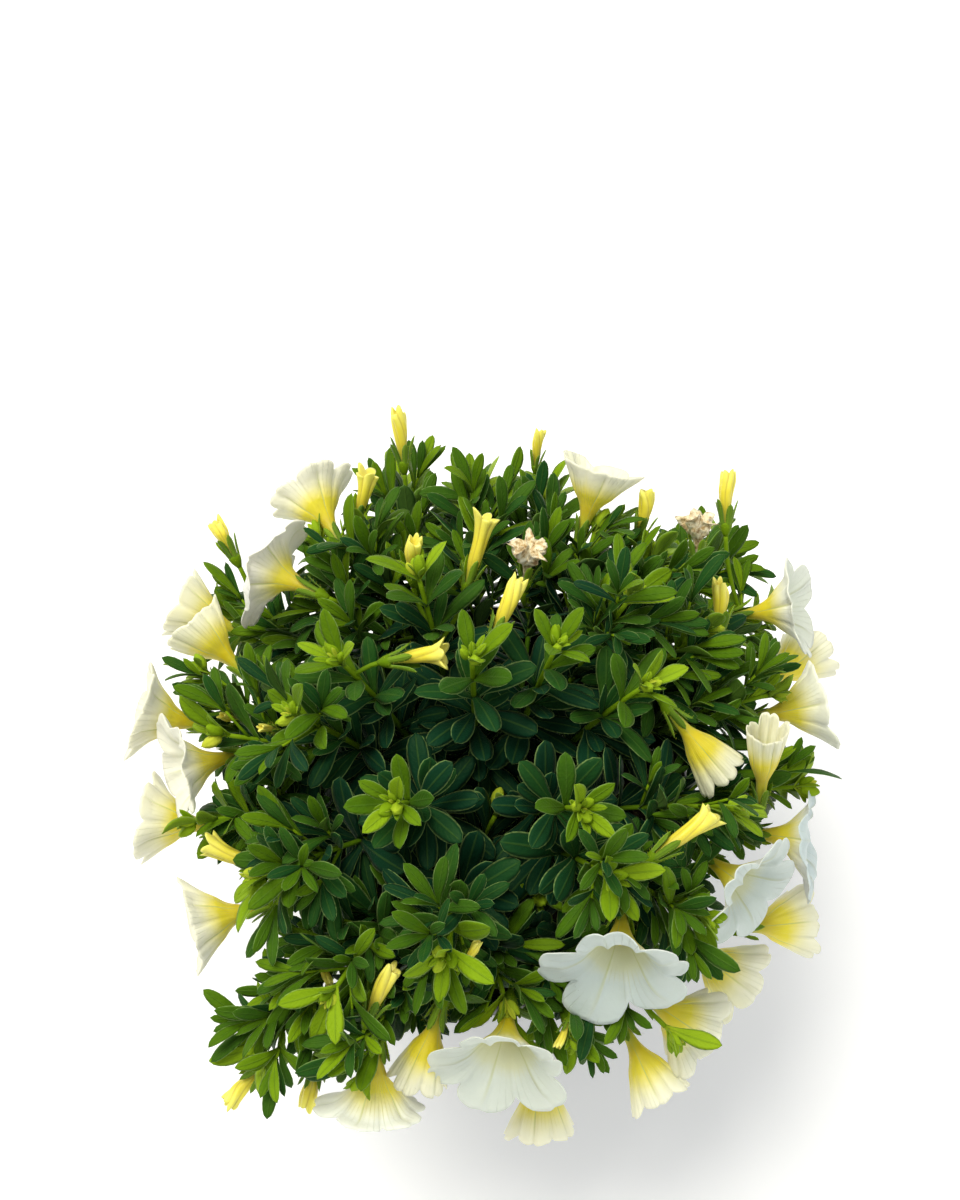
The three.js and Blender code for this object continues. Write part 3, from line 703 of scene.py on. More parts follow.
def add_blade(surface, leaf, random):
    """A leaf: keeled along its midrib, with a rounded end, its halves cupped, waved and rolled."""
    young = min(max(leaf.young, 0), 1)
    rows = blade_rows(leaf.length)
    half = (0.5 * leaf.width * blade_width(rows, leaf.stalk, young))[:, None]
    fold = mix(*BLADE.fold, young) * random(0.4, 1.6)
    cup = np.abs(SECTION) * fold - SECTION**4 * random(0.0, 0.3) * (1.1 - young)
    wave = BLADE.wave * np.sin(rows * random(5, 11) + random(0, TURN))[:, None] * SECTION
    tilt = random(-1, 1) * BLADE.tilt + random(-1, 1) * BLADE.twist * rows[:, None]
    thick = 0.5 * BLADE.thickness * RISE * smooth(-0.1, 0.25, 1.05 - rows)[:, None]
    lift = half * (cup + wave) + thick
    across = half * SECTION
    sideways = (across * np.cos(tilt) - lift * np.sin(tilt))[..., None]
    upward = (across * np.sin(tilt) + lift * np.cos(tilt))[..., None]
    grid = leaf.rib(rows)[:, None] + leaf.side * sideways + leaf.normal(rows)[:, None] * upward
    surface.loft(grid, young=leaf.young, tone=random(0, 1), across=SECTION, along=rows[:, None],
                 under=UNDER, blade=1.0)


def add_stem(surface, path, radii, young, sides=8, pitch=3.0):
    rows = np.linspace(0, 1, max(4, math.ceil(path.length() / pitch)))
    rings = []
    for t in rows:
        centre, _, side, up = path.frame(t)
        rings.append(ring(centre, side, up, mix(*radii, t), full_turn(sides)))
    surface.loft(np.array(rings), young=mix(*young, rows)[:, None], tone=0.5)


def add_hair(surface, root, way, random):
    """A fine straight hair: a three-sided spike."""
    side = unit(np.cross(way, (0.3, 0.5, 0.8)))
    foot = ring(root, side, np.cross(side, way), HAIR.radius, full_turn(3))
    tip = root + way * CALYX.hair * random(*HAIR.lengths)
    surface.add(np.vstack([foot, tip]), [[(0, 1, 3), (1, 2, 3), (2, 0, 3)]], young=1.6, tone=0.5)


def add_calyx(surface, head, random, scale=1.0):
    """The green cup under a flower, with long narrow sepals that are hairy at their edges."""
    seat, (side, up, axis) = np.array(head[0], float), head_axes(head[1])
    cup = turned(CALYX.cup * scale, full_turn(CALYX.sides), seat, (side, up, axis))
    surface.loft(cup, young=0.8, tone=0.6)
    for i in range(CALYX.sepals):
        out = around(side, up, TURN * (i + 0.5) / CALYX.sepals)
        way = leaning(axis, out, CALYX.lean * random(0.7, 1.5))
        face = unit(-out + way * out.dot(way))
        root = seat + (axis * CALYX.height + out * CALYX.radius) * scale
        length = (CALYX.length * random(0.85, 1.05) - CALYX.height) * scale
        width = CALYX.width * scale
        sepal = Leaf(root, way, face, length, CALYX.bend * random(0.3, 2.2), width, young=0.85, stalk=0.75)
        add_blade(surface, sepal, random)
        for j, point in enumerate(sepal.rib(np.linspace(0.05, 0.98, CALYX.hairs))):
            edge = sepal.side * (1 if j % 2 else -1)
            add_hair(surface, point + edge * 0.36 * width, unit(edge + out * 0.9 + 0.4 * way), random)


def add_green_bud(surface, root, way, length, random):
    """A small closed bud: five sepals shut round it."""
    side = unit(np.cross(way, (0.2, 0.9, 0.3)))
    turns = full_turn(15)
    ribs = 1 + 0.16 * np.cos(5 * turns)
    radius = 0.27 * length * random(0.9, 1.1)
    shape = [(0, 0.35), (0.12, 0.75), (0.4, 1.0), (0.7, 0.85), (0.9, 0.5), (1, 0.12)]
    profile = [(length * height, radius * width * ribs) for height, width in shape]
    rings = turned(profile, turns, root, (side, np.cross(side, way), way))
    surface.loft(rings, young=random(1.0, 1.4), tone=random(0.3, 1))


def add_tip_buds(surface, path, random):
    """The green flower buds between the youngest leaves of a shoot."""
    centre, heading, side, up = path.frame(1)
    for i in range(TIP_BUDS.count):
        out = around(side, up, i * TIP_BUDS.turn + random(-0.4, 0.4))
        way = unit(leaning(heading, out, random(*TIP_BUDS.lean)))
        root = centre + heading * TIP_BUDS.rise + out * TIP_BUDS.out
        add_green_bud(surface, root, way, random(*TIP_BUDS.length), random)


# ---------------------------------------------------------------- petals


def along_profile(knots, count, ease=1.0):
    """Rows of (height, radius) along a smooth line through the knots, and each one's share of the way."""
    knots = np.array(knots, float)
    run = np.concatenate([[0], np.cumsum(np.linalg.norm(np.diff(knots, axis=0), axis=1))])
    at = np.linspace(0, 1, count) ** ease * run[-1]
    slopes = np.gradient(knots, run, axis=0)
    i = np.clip(np.searchsorted(run, at) - 1, 0, len(knots) - 2)
    width = (run[i + 1] - run[i])[:, None]
    s = (at - run[i])[:, None] / width
    rows = (1 + 2 * s) * (1 - s) ** 2 * knots[i] + s * (1 - s) ** 2 * width * slopes[i]
    return rows + s * s * (3 - 2 * s) * knots[i + 1] + s * s * (s - 1) * width * slopes[i + 1], at / run[-1]


def shell(outer, thickness):
    """The rings of a thin closed wall: out along the outer skin, and back inside it."""
    across = np.roll(outer, -1, axis=1) - np.roll(outer, 1, axis=1)
    normal = np.cross(across, np.gradient(outer, axis=0))
    normal /= np.maximum(np.linalg.norm(normal, axis=2, keepdims=True), 1e-9)
    return np.concatenate([outer, (outer - normal * thickness)[::-1]])


def place_head(points, head):
    return np.array(head[0], float) + points @ head_axes(head[1])


def for_lobes(low, high, number, random):
    """A chance value for each lobe, given to every column by the number of its lobe."""
    return np.array([random(low, high) for _ in range(PETAL.lobes)])[number]


def corolla_profile(span, petal):
    """The section of a flower as rows of (height, radius), each row's share of the way, and how far
    the flower has opened."""
    mouth, throat = mouth_radius(span), COROLLA.throat
    out, forward = limb_run(span, *petal)
    openness = float(smooth(0.45, 0.95, out / math.hypot(out, forward)))
    knots = [(COROLLA.seat, 1.0), (7, 1.4), (10.5, 0.5 * mouth), (throat, 0.86 * mouth)]
    for i, (ahead, outward) in enumerate(PETAL.trumpet, 1):
        straight = i / len(PETAL.trumpet)
        height = throat + forward * mix(straight, ahead, openness)
        knots.append((height, mouth + out * mix(straight, outward, openness)))
    return *along_profile(knots, PETAL.rows, 0.9), openness


def add_corolla(surface, head, warmth, random):
    """A trumpet of five fused lobes, pleated along its veins. Each rounded lobe curls back, those
    at the top of the flower more than the others."""
    _, aim, span, *petal = head
    rows, share, openness = corolla_profile(span, petal)
    along = np.gradient(rows, axis=0)
    along /= np.linalg.norm(along, axis=1, keepdims=True)
    turns = full_turn(PETAL.columns)
    place = turns * PETAL.lobes / TURN
    lobe = np.abs(place % 1 - 0.5) * 2  # 0 on a lobe's midvein, 1 in the notch
    number = place.astype(int)
    limb, edge, tip = (smooth(start, 1, share)[:, None] for start in (0.35, 0.66, 0.8))
    crease = 0.75 * np.exp(-((lobe / 0.1) ** 2))
    pleat = 0.55 * np.sin(math.pi * lobe) ** 0.7 - crease - 0.6 * smooth(0.8, 1, lobe)
    pleat *= mix(*PETAL.pleats, openness)
    wave = sum(random(0.3, 0.9) / k**0.5 * np.sin(k * turns + random(0, TURN)) for k in (1, 2, 3, 5))
    wave *= mix(*PETAL.waves, openness)
    rise = np.sin((number + 0.5) * TURN / PETAL.lobes) * math.cos(math.radians(aim[1]))
    curl = mix(*PETAL.curl, 0.5 + 0.5 * rise) * for_lobes(0.5, 1.4, number, random)
    curl *= openness * smooth(1, 0.25, lobe)
    tilt = for_lobes(-PETAL.tilt, PETAL.tilt, number, random) * openness * smooth(1, 0.4, lobe)
    crinkle = 0.07 * np.sin(13 * turns + random(0, TURN)) + 0.05 * np.sin(21 * turns + random(0, TURN))
    lift = limb * (1 - 0.4 * tip) * pleat + edge * (wave + tilt) + tip * (crinkle + curl)
    longer = for_lobes(*PETAL.longer, number, random) - 0.05 * rise
    rounded = (1 - np.sqrt(1 - (PETAL.point * lobe) ** 2)) * mix(*PETAL.notches, openness)
    shorter = PETAL.notch * rounded + 0.04 * smooth(0.2, 0, lobe) - longer * smooth(1, 0.6, lobe)
    rim = rows[:, None] - (edge * shorter)[..., None] * (rows[:, None] - [COROLLA.throat, 0])
    # The lift is square to the profile, away from the axis.
    outer = polar(rim[..., 1] + along[:, :1] * lift, rim[..., 0] - along[:, 1:] * lift, turns)
    grid = shell(outer, PETAL.thickness)
    inner = np.repeat([0, 1], PETAL.rows)[:, None]
    reach = np.concatenate([share, share[::-1]])[:, None]
    surface.loft(place_head(grid, head), reach=reach, lobe=lobe, inner=inner, warmth=warmth, spread=openness)
    add_pistil(surface, head, random)


def add_pistil(surface, head, random):
    """The style and five anthers deep in the throat."""
    turns = full_turn(6)

    def little(x, y, low, high, radius):
        profile = [(low, 0.3 * radius), (mix(low, high, 0.3), radius), (mix(low, high, 0.7), radius),
                   (high, 0.3 * radius)]
        rings = turned(profile, turns, np.array([x, y, 0]))
        surface.loft(place_head(rings, head), reach=0.2, lobe=0.5, warmth=1.0, spread=1.0)

    little(0, 0, 5, 14.2, 0.35)
    little(0, 0, 13.8, 15.0, 0.75)
    for i in range(ANTHERS.count):
        x, y, _ = ANTHERS.circle * around(X, Y, TURN * i / ANTHERS.count + random(-0.2, 0.2))
        little(x, y, *ANTHERS.span, ANTHERS.radius)


def furled_tip(outer, share):
    """The rings that close a furled flower: they turn in over its crown and down into it."""
    caps = []
    for shrink, drop in FURLED_TIP:
        last = outer[-1].copy()
        last[:, :2] *= shrink
        last[:, 2] = mix(last[:, 2].mean(), last[:, 2], shrink) - drop
        caps.append(last)
    reach = np.concatenate([share, np.linspace(0.98, 0.7, len(caps))])
    return np.concatenate([outer, np.array(caps)]), reach[:, None]


def add_yellow_bud(surface, head, length, random, scale=1.0, opening=0.0):
    """A furled bud whose folded, twisted tip is about to open."""
    loose = random(0, 1) + opening
    crown = [(length - 0.6, mix(2.0, 2.7, loose)), (length + 1.0, mix(1.7, 3.3, loose))]
    knots = [(COROLLA.seat, 0.9), (5.5, 1.15), (9, 1.7), (BUD_SWELL * length, 2.1)] + crown
    rows, share = along_profile(knots, BUD.rows)
    turns = full_turn(BUD.columns)
    fold, tip, bent = (smooth(start, 1, share)[:, None] for start in (0.25, 0.75, 0.4))
    twist = random(-1, 1) * BUD.twist * share[:, None] ** 2
    place = (turns - twist) * PETAL.lobes / TURN
    folds = np.abs(np.sin(math.pi * place))
    number = np.floor(place).astype(int) % PETAL.lobes
    longer = for_lobes(-1.1, 1.3, number, random)
    wider = for_lobes(-0.1, 0.35, number, random)
    swell = fold * (0.34 * folds - 0.2) + 0.05 * np.sin(3 * turns + 5 * share[:, None]) + tip * folds * wider
    sway = 0.3 * fold**3 * np.sin(2 * turns + random(0, TURN))
    height = rows[:, :1] + tip * (folds * (0.9 + longer) - 0.6) + sway
    outer = polar(rows[:, 1:] * (1 + swell), height, turns)
    outer += (BUD.bend * bent**2)[..., None] * around(X, Y, random(0, TURN))
    grid, reach = furled_tip(outer, share)
    folds = np.concatenate([folds, np.full((len(FURLED_TIP), BUD.columns), 0.2)])
    surface.loft(place_head(grid * scale, head), reach=reach, lobe=folds, warmth=random(0.2, 1))


def add_withered(surface, head, random):
    """A dry flower, crumpled on itself, its edge ragged."""
    length = head[2]
    crown = [(BUD_SWELL * length, 2.9), (length, 3.9), (length + 1.6, 4.4)]
    rows, share = along_profile([(COROLLA.seat, 0.8), (5.5, 0.9), (8.5, 1.5)] + crown, WITHER.rows)
    turns = full_turn(WITHER.columns)
    shape = (WITHER.rows, WITHER.columns)
    radius = np.broadcast_to(rows[:, 1:], shape).copy()
    height = np.broadcast_to(rows[:, :1], shape).copy()
    shift = random(0, 50)
    folds = sum(depth * np.sin(count * turns + random(0, TURN)) for count, depth in WITHER.folds)
    for i, j in np.ndindex(shape):
        x, y = 1.9 * math.cos(turns[j]), 1.9 * math.sin(turns[j])
        crumple = noise.fractal(Vector((x + shift, y, 0.55 * height[i, j])), 0.9, 2.1, 3)
        radius[i, j] *= 1 + share[i] ** 2 * (folds[j] + WITHER.crumple * crumple)
        tear = noise.noise(Vector((1.4 * y, 1.4 * x + shift, 0.4 * height[i, j])))
        height[i, j] += WITHER.ragged * share[i] ** 3 * tear
    grid, reach = furled_tip(polar(radius, height, turns), share)
    surface.loft(place_head(grid, head), reach=reach, warmth=1.0)


# ---------------------------------------------------------------- pot and soil


def pot_profile():
    """The pot's section as (radius, height), from the middle of its base round to its inner floor."""
    rim, neck, foot, top = POT.rim_radius, POT.neck_radius, POT.foot_radius, POT.height
    shoulder = top - POT.lip_height
    inner = rim - POT.lip_wall
    rounded_foot = [(1, 0), (foot - 4, 0), (foot - 1.2, 0), (foot - 0.35, 0.25), (foot, 1)]
    step = [(foot + 0.8, 5), (foot + 1.5, 5.6), (foot + 1.8, 7)]
    side = [(mix(foot, neck, 0.5), shoulder / 2), (mix(foot, neck, 0.84), 0.84 * shoulder)]
    groove = [(mix(foot, neck, 0.86) + 0.45, 0.85 * shoulder), (neck - 0.4, shoulder - 1.6),
              (neck - 0.3, shoulder - 0.4), (neck + 0.5, shoulder)]
    lip_below = [(rim - 1.6, shoulder), (rim - 0.9, shoulder + 0.3), (rim - 0.7, shoulder + 1)]
    lip_above = [(rim - 0.1, top - 1.6), (rim - 0.3, top - 0.6), (rim - 1, top), (inner + 0.9, top),
                 (inner + 0.2, top - 0.5), (inner, top - 1.5)]
    inside = [(neck - POT.wall, shoulder), (foot - POT.wall, POT.floor), (1, POT.floor)]
    return rounded_foot + step + side + groove + lip_below + lip_above + inside


def nursery_pot(material):
    """The thin moulded pot: a lip with rounded edges, a step under it and drain holes in the base."""
    surface = Surface()
    surface.loft(turned([(height, radius) for radius, height in pot_profile()], full_turn(128)))
    pot = surface.piece("nursery_pot", material, "pot", "pot")
    for angle in full_turn(POT.drains):
        bpy.ops.mesh.primitive_cylinder_add(
            radius=POT.drain_radius * METRES, depth=0.02, vertices=24,
            location=around(X, Y, angle) * POT.drain_circle * METRES)
        cutter = bpy.context.object
        cut = pot.modifiers.new("drain", "BOOLEAN")
        cut.object = cutter
        cut.solver = "EXACT"
        bpy.context.view_layer.objects.active = pot
        bpy.ops.object.modifier_apply(modifier=cut.name)
        bpy.data.objects.remove(cutter)
    pot.data.polygons.foreach_set("use_smooth", [True] * len(pot.data.polygons))
    pot.data.set_sharp_from_angle(angle=math.radians(40))


def potting_mix(material, random):
    """The moist peat mix in the pot, with a crumbly top."""
    low, edge = POT.floor + SOIL.gap, SOIL.top - SOIL.edge_drop
    narrow = POT.foot_radius - POT.wall - SOIL.gap
    wide = POT.neck_radius - POT.wall - SOIL.gap
    body = [(low, 0.6), (low, narrow), (POT.height - POT.lip_height, wide), (edge, wide)]
    top_radii = np.linspace(wide - 0.6, 0.6, 44)
    slope = smooth(wide, wide - SOIL.slope, top_radii)
    heights = SOIL.top - SOIL.edge_drop * (1 - slope) + SOIL.crown * (1 - top_radii / wide)
    grid = turned(body + list(zip(heights, top_radii)), full_turn(120))
    for point in grid[len(body):].reshape(-1, 3):
        bumps = noise.fractal(Vector((point[0] * 0.35, point[1] * 0.35, 3.0)), 0.7, 2.2, 3)
        point[2] += 0.9 * bumps - 0.3
    surface = Surface("grain")
    surface.loft(grid, grain=0.5)
    for _ in range(CRUMBS.count):
        angle, radius = random(0, TURN), wide * math.sqrt(random(0, 0.93))
        size = random(*CRUMBS.size)
        centre = radius * around(X, Y, angle) + (SOIL.top + random(*CRUMBS.rise)) * Z
        add_crumb(surface, centre, size, random)
    surface.piece("potting_mix", material, "soil", "soil", smooth_faces=False)


def add_crumb(surface, centre, size, random):
    turns = full_turn(6)
    squash = random(*CRUMBS.squash)
    grain = random(0, 1)
    rings = []
    for height, radius in CRUMBS.section:
        radii = size * radius * np.array([random(0.7, 1.3) for _ in turns])
        rings.append(ring(centre + height * size * squash * Z, X, random(0.6, 1.2) * Y, radii, turns))
    surface.loft(np.array(rings), grain=grain)


# ---------------------------------------------------------------- materials


class Wire:
    """A node's output. Sums and products of it with numbers and other wires become maths nodes."""

    def __init__(self, shader, socket):
        self.shader = shader
        self.socket = socket

    def __add__(self, other):
        return self.shader.math("ADD", self, other)

    def __sub__(self, other):
        return self.shader.math("SUBTRACT", self, other)

    def __rsub__(self, other):
        return self.shader.math("SUBTRACT", other, self)

    def __mul__(self, other):
        return self.shader.math("MULTIPLY", self, other)

    def __truediv__(self, other):
        return self.shader.math("DIVIDE", self, other)


class Shader:
    """A Principled material that is put together one node at a time."""

    def __init__(self, name, roughness, **constants):
        self.material = bpy.data.materials.new(name)
        self.material.use_nodes = True
        self.tree = self.material.node_tree
        self.main = self.tree.nodes["Principled BSDF"]
        for key, value in {"Roughness": roughness, **constants}.items():
            self.feed(self.main.inputs[key.replace("_", " ")], value)

    def feed(self, socket, value):
        """Gives an input a wire, a number or a colour."""
        if isinstance(value, Wire):
            self.tree.links.new(value.socket, socket)
        else:
            socket.default_value = (*value, 1) if socket.type == "RGBA" else value

    def node(self, kind, output, inputs, **settings):
        made = self.tree.nodes.new("ShaderNode" + kind)
        for key, value in settings.items():
            setattr(made, key, value)
        for key, value in inputs.items():
            self.feed(made.inputs[key], value)
        return Wire(self, made.outputs[output])

    def value(self, name):
        return self.node("Attribute", "Fac", {}, attribute_name=name)

    def values(self, *names):
        return [self.value(name) for name in names]

    def math(self, operation, a, b=0.0):
        return self.node("Math", 0, {0: a, 1: b}, operation=operation)

    def step(self, value, low, high):
        """0 below low and 1 above high, with a soft change between."""
        inputs = {"Value": value, "From Min": low, "From Max": high}
        return self.node("MapRange", "Result", inputs, interpolation_type="SMOOTHSTEP")

    def blend(self, share, a, b):
        """From colour a to colour b. These numbers are a Mix node's sockets for colours."""
        return self.node("Mix", 2, {0: share, 6: a, 7: b}, data_type="RGBA")

    def ramp(self, value, *stops):
        colour = self.node("ValToRGB", "Color", {0: value})
        elements = colour.socket.node.color_ramp.elements
        while len(elements) < len(stops):
            elements.new(0.5)
        for element, (position, rgb) in zip(elements, stops):
            element.position = position
            element.color = (*rgb, 1)
        return colour

    def place(self):
        return self.node("TexCoord", "Object", {})

    def noise(self, scale, detail=3.0):
        return self.node("TexNoise", "Fac", {"Vector": self.place(), "Scale": scale, "Detail": detail})

    def bump(self, height, depth, strength=1.0):
        inputs = {"Height": height, "Distance": depth, "Strength": strength}
        self.feed(self.main.inputs["Normal"], self.node("Bump", 0, inputs))

    def finish(self, colour, roughness=None):
        self.feed(self.main.inputs["Base Color"], colour)
        if roughness:
            self.feed(self.main.inputs["Roughness"], roughness)
        return self.material


def foliage_material():
    """Downy leaves: fresh green when young, dark blue green when old, with thin pale hairy edges that are
    partly a painted highlight. The young value also brings painted light at the edge of the mound and painted
    shade in its middle, and the midrib has painted shade in its groove and a painted highlight on its keel.
    """
    s = Shader("downy_foliage", 0.5, Sheen_Weight=0.03, Sheen_Roughness=0.3, Specular_IOR_Level=0.1,
               Specular_Tint=(0.75, 0.95, 0.35), Sheen_Tint=(0.8, 0.95, 0.4))
    young, tone, blade, under, along = s.values("young", "tone", "blade", "under", "along")
    across = s.math("ABSOLUTE", s.value("across"))
    mottle = s.noise(260, 4)
    base = s.step(along, 0.5, 0) * (blade * 0.12)
    # young holds painted light at the edge of the mound and painted shade in its middle.
    shade = young + (mottle - 0.5) * 0.2 + (tone - 0.5) * 0.42 + base
    colour = s.ramp(
        shade / 1.6,
        (0.0, (0.005, 0.036, 0.016)),
        (0.2, (0.014, 0.066, 0.011)),
        (0.4, (0.058, 0.135, 0.004)),
        (0.62, (0.18, 0.30, 0.006)),
        (0.82, (0.28, 0.42, 0.015)),
        (1.0, (0.58, 0.60, 0.05)),
    )
    rib = (1 - s.step(across, 0.02, 0.14)) * blade
    margin = s.step(across, 0.84, 0.98) * blade
    # Along the midrib the colour is drawn toward a mid green: painted shade in its groove on bright leaves
    # and a painted highlight on its keel on dark ones.
    colour = s.blend(rib * 0.22, colour, (0.10, 0.2, 0.03))
    # The pale margin is partly the hairs' own pale colour and partly a painted highlight where they catch the
    # light.
    colour = s.blend(margin * 0.62, colour, (0.33, 0.50, 0.15))
    colour = s.blend(under * 0.35, colour, (0.15, 0.26, 0.045))
    veins = s.math("SINE", along * 55 - across * 14)
    down = s.noise(2400, 2)
    s.bump(veins * blade * 0.1 + down - rib * 0.9, 0.00018, 0.8)
    return s.finish(colour, mottle * 0.2 + 0.36)


def petal_material():
    """White petals with fine veins, yellow down the tube."""
    s = Shader("white_petal", 0.45, Sheen_Weight=0.12, Sheen_Roughness=0.5, Subsurface_Weight=0.35,
               Subsurface_Scale=0.003, Subsurface_Radius=(1.0, 0.97, 0.85))
    reach, lobe, spread, inner, warmth = s.values("reach", "lobe", "spread", "inner", "warmth")
    cloud = s.noise(140)
    # Painted light and shade: a high warmth gives a creamy, sunlit white, a low one a bluish white as painted
    # shade, darker still on the inner faces.
    outer_white = s.blend(warmth, (0.70, 0.78, 0.77), (0.92, 0.875, 0.70))
    inner_white = s.blend(warmth, (0.48, 0.63, 0.67), (0.88, 0.87, 0.78))
    white = s.blend(spread, (0.88, 0.86, 0.58), s.blend(inner, outer_white, inner_white))
    lines = s.math("ABSOLUTE", s.math("SINE", lobe * 14))
    vein = (1 - s.step(lines, 0, 0.3)) * s.step(s.noise(110), 0.4, 0.62)
    fade = reach + (cloud - 0.5) * 0.12 - (1 - spread) * 0.16 - vein * 0.09
    outside = s.ramp(
        fade,
        (0.0, (0.50, 0.52, 0.015)),
        (0.2, (0.76, 0.58, 0.004)),
        (0.44, (0.86, 0.70, 0.015)),
        (0.62, (0.92, 0.84, 0.28)),
    )
    inside = s.ramp(
        fade,
        (0.3, (0.70, 0.62, 0.05)),
        (0.5, (0.78, 0.76, 0.30)),
        (0.6, (0.80, 0.84, 0.66)),
    )
    whitens = s.step(fade, 0.46, 0.78) + inner * (0.45 - warmth * 0.2)
    colour = s.blend(s.math("MINIMUM", whitens, 1), s.blend(inner, outside, inside), white)
    stripe = s.step(lobe, 0.09, 0.01) * s.step(reach, 1.02, 0.6) * (0.8 - inner * 0.35)
    colour = s.blend(stripe, colour, (0.50, 0.53, 0.10))
    colour = s.blend(vein * 0.3, colour, (0.54, 0.60, 0.44))
    dots = s.node("TexVoronoi", "Distance", {"Vector": s.place(), "Scale": 900})
    speck = s.math("LESS_THAN", dots, 0.08) * s.math("GREATER_THAN", cloud, 0.66)
    colour = s.blend(speck * 0.7, colour, (0.2, 0.15, 0.1))
    crinkle = s.noise(900, 4)
    s.bump(vein * -0.8 + crinkle, 0.0002, 0.8)
    return s.finish(colour)


def bud_material():
    """Furled petals: clear yellow, greener at the base, and a deeper yellow between the folds that is painted
    shade in their grooves.
    """
    s = Shader("furled_petal", 0.45, Sheen_Weight=0.08, Subsurface_Weight=0.2, Subsurface_Scale=0.002,
               Subsurface_Radius=(1.0, 0.9, 0.4))
    reach, folds, warmth = s.values("reach", "lobe", "warmth")
    colour = s.ramp(
        reach + (s.noise(400) - 0.5) * 0.2,
        (0.0, (0.40, 0.45, 0.012)),
        (0.3, (0.66, 0.55, 0.006)),
        (0.65, (0.82, 0.70, 0.014)),
        (1.0, (0.92, 0.85, 0.13)),
    )
    # Painted shade: a deeper yellow in the grooves between the folds.
    colour = s.blend(s.step(folds, 0.45, 0) * 0.7, colour, (0.50, 0.38, 0.008))
    colour = s.blend(warmth * 0.12, colour, (0.93, 0.90, 0.4))
    s.bump(s.noise(1200), 0.00015, 0.6)
    return s.finish(colour)


def withered_material():
    s = Shader("withered_petal", 0.8, Sheen_Weight=0.2)
    folds = s.noise(700, 5)
    colour = s.ramp(
        folds,
        (0.3, (0.24, 0.14, 0.05)),
        (0.42, (0.55, 0.40, 0.19)),
        (0.54, (0.82, 0.72, 0.48)),
        (0.75, (0.92, 0.86, 0.66)),
    )
    s.bump(folds, 0.0005)
    return s.finish(colour)


def pot_material():
    """Dark moulded plastic, a little dusty and scuffed."""
    s = Shader("nursery_plastic", 0.4)
    dust, scuff = s.noise(45, 6), s.noise(220, 8)
    colour = s.blend(s.step(dust, 0.48, 0.8), (0.016, 0.017, 0.018), (0.034, 0.032, 0.03))
    colour = s.blend(s.step(scuff, 0.62, 0.72) * 0.5, colour, (0.07, 0.07, 0.068))
    s.bump(s.noise(3000, 2), 0.00006, 0.5)
    return s.finish(colour, dust * 0.35 + 0.25)


def soil_material():
    s = Shader("peat_mix", 0.95)
    grains = s.noise(900, 5)
    colour = s.ramp(
        s.value("grain") * 0.5 + grains * 0.5,
        (0.2, (0.012, 0.008, 0.005)),
        (0.5, (0.035, 0.022, 0.013)),
        (0.75, (0.09, 0.06, 0.035)),
    )
    s.bump(grains, 0.0008)
    return s.finish(colour)


def floor_material():
    s = Shader("pale_floor", 0.7, Emission_Color=(1, 1, 1), Emission_Strength=0.2)
    return s.finish(s.blend(s.noise(3), (0.93, 0.93, 0.93), (0.95, 0.95, 0.95)))


# ---------------------------------------------------------------- the stage


def make_camera():
    """Looks down on the mound from the photograph's height, along +Y."""
    focal = CAMERA.pixels_per_mm * CAMERA.distance
    camera = linked("camera", bpy.data.cameras.new("camera"))
    camera.data.lens = focal * CAMERA.sensor / CAMERA.photo_height
    camera.data.sensor_width = CAMERA.sensor
    camera.data.clip_start = CAMERA.near
    camera.location = EYE * METRES
    camera.rotation_euler[0] = math.pi / 2 - CAMERA.elevation + math.atan(CAMERA.below_centre / focal)
    bpy.context.scene.camera = camera


def area_light(name, place, width, power, colour):
    light = bpy.data.lights.new(name, "AREA")
    light.shape = "DISK"
    light.size = width
    light.energy = power
    light.color = colour
    lamp = linked(name, light)
    lamp.location = place
    lamp.rotation_euler = (LIT - lamp.location).to_track_quat("-Z", "Y").to_euler()


def make_stage():
    """An evenly lit room with a pale floor just under the pot."""
    scene = bpy.context.scene
    scene.view_settings.view_transform = "Standard"
    scene.world = bpy.data.worlds.new("soft_room")
    scene.world.use_nodes = True
    background = scene.world.node_tree.nodes["Background"]
    background.inputs["Color"].default_value = (0.98, 0.99, 1, 1)
    background.inputs["Strength"].default_value = 0.45
    for lamp in LAMPS:
        area_light(*lamp)
    surface = Surface()
    corners = np.array([(-1, -1, 0), (1, -1, 0), (1, 1, 0), (-1, 1, 0)]) * FLOOR.half
    surface.add(corners, [[(0, 1, 2, 3)]])
    floor = surface.build("floor", floor_material())
    floor.location.z = -FLOOR.sunk


# ---------------------------------------------------------------- the whole plant


def freshness_and_daylight(leaf):
    """How fresh a leaf's green is, with painted light and shade: young leaves are fresh, and the green is
    brightened out at the edge of the mound as painted light and darkened near its middle as painted shade,
    less so on young leaves.
    """
    radius = math.hypot(leaf.root[0], leaf.root[1])
    # daylight: painted light beyond 50 mm from the middle, painted shade within 62 mm of it
    daylight = 0.24 * float(smooth(50, 90, radius)) - 0.26 * float(smooth(62, 20, radius))
    return max(leaf.young, 0) ** 1.4 + daylight * (1 - 0.6 * min(max(leaf.young, 0), 1))


def grow(kind, rule, stems, occupied):
    """What a rule gives for the shoots of each stem in turn, with a stream of chance for each stem."""
    grown = []
    for number, shoots in enumerate(stems):
        random = random_for(kind, number)
        grown.append([one for shoot in shoots for one in rule(shoot, occupied, random)])
    return grown


def free_the_view(heads, occupied):
    """Keeps the way from each flower's petals to the eye free, and the small buds themselves."""
    for seat, aim, length in SMALL_BUDS:
        points = np.array(seat) + head_axes(aim)[2] * np.linspace(2, length, 6)[:, None]
        occupied.add(points, FLOWER, radius=CLEARANCE.small_bud)
    for i, head in enumerate(heads + SMALL_BUDS):
        occupied.add(sight_points(head, i < len(FLOWERS)), SIGHT)


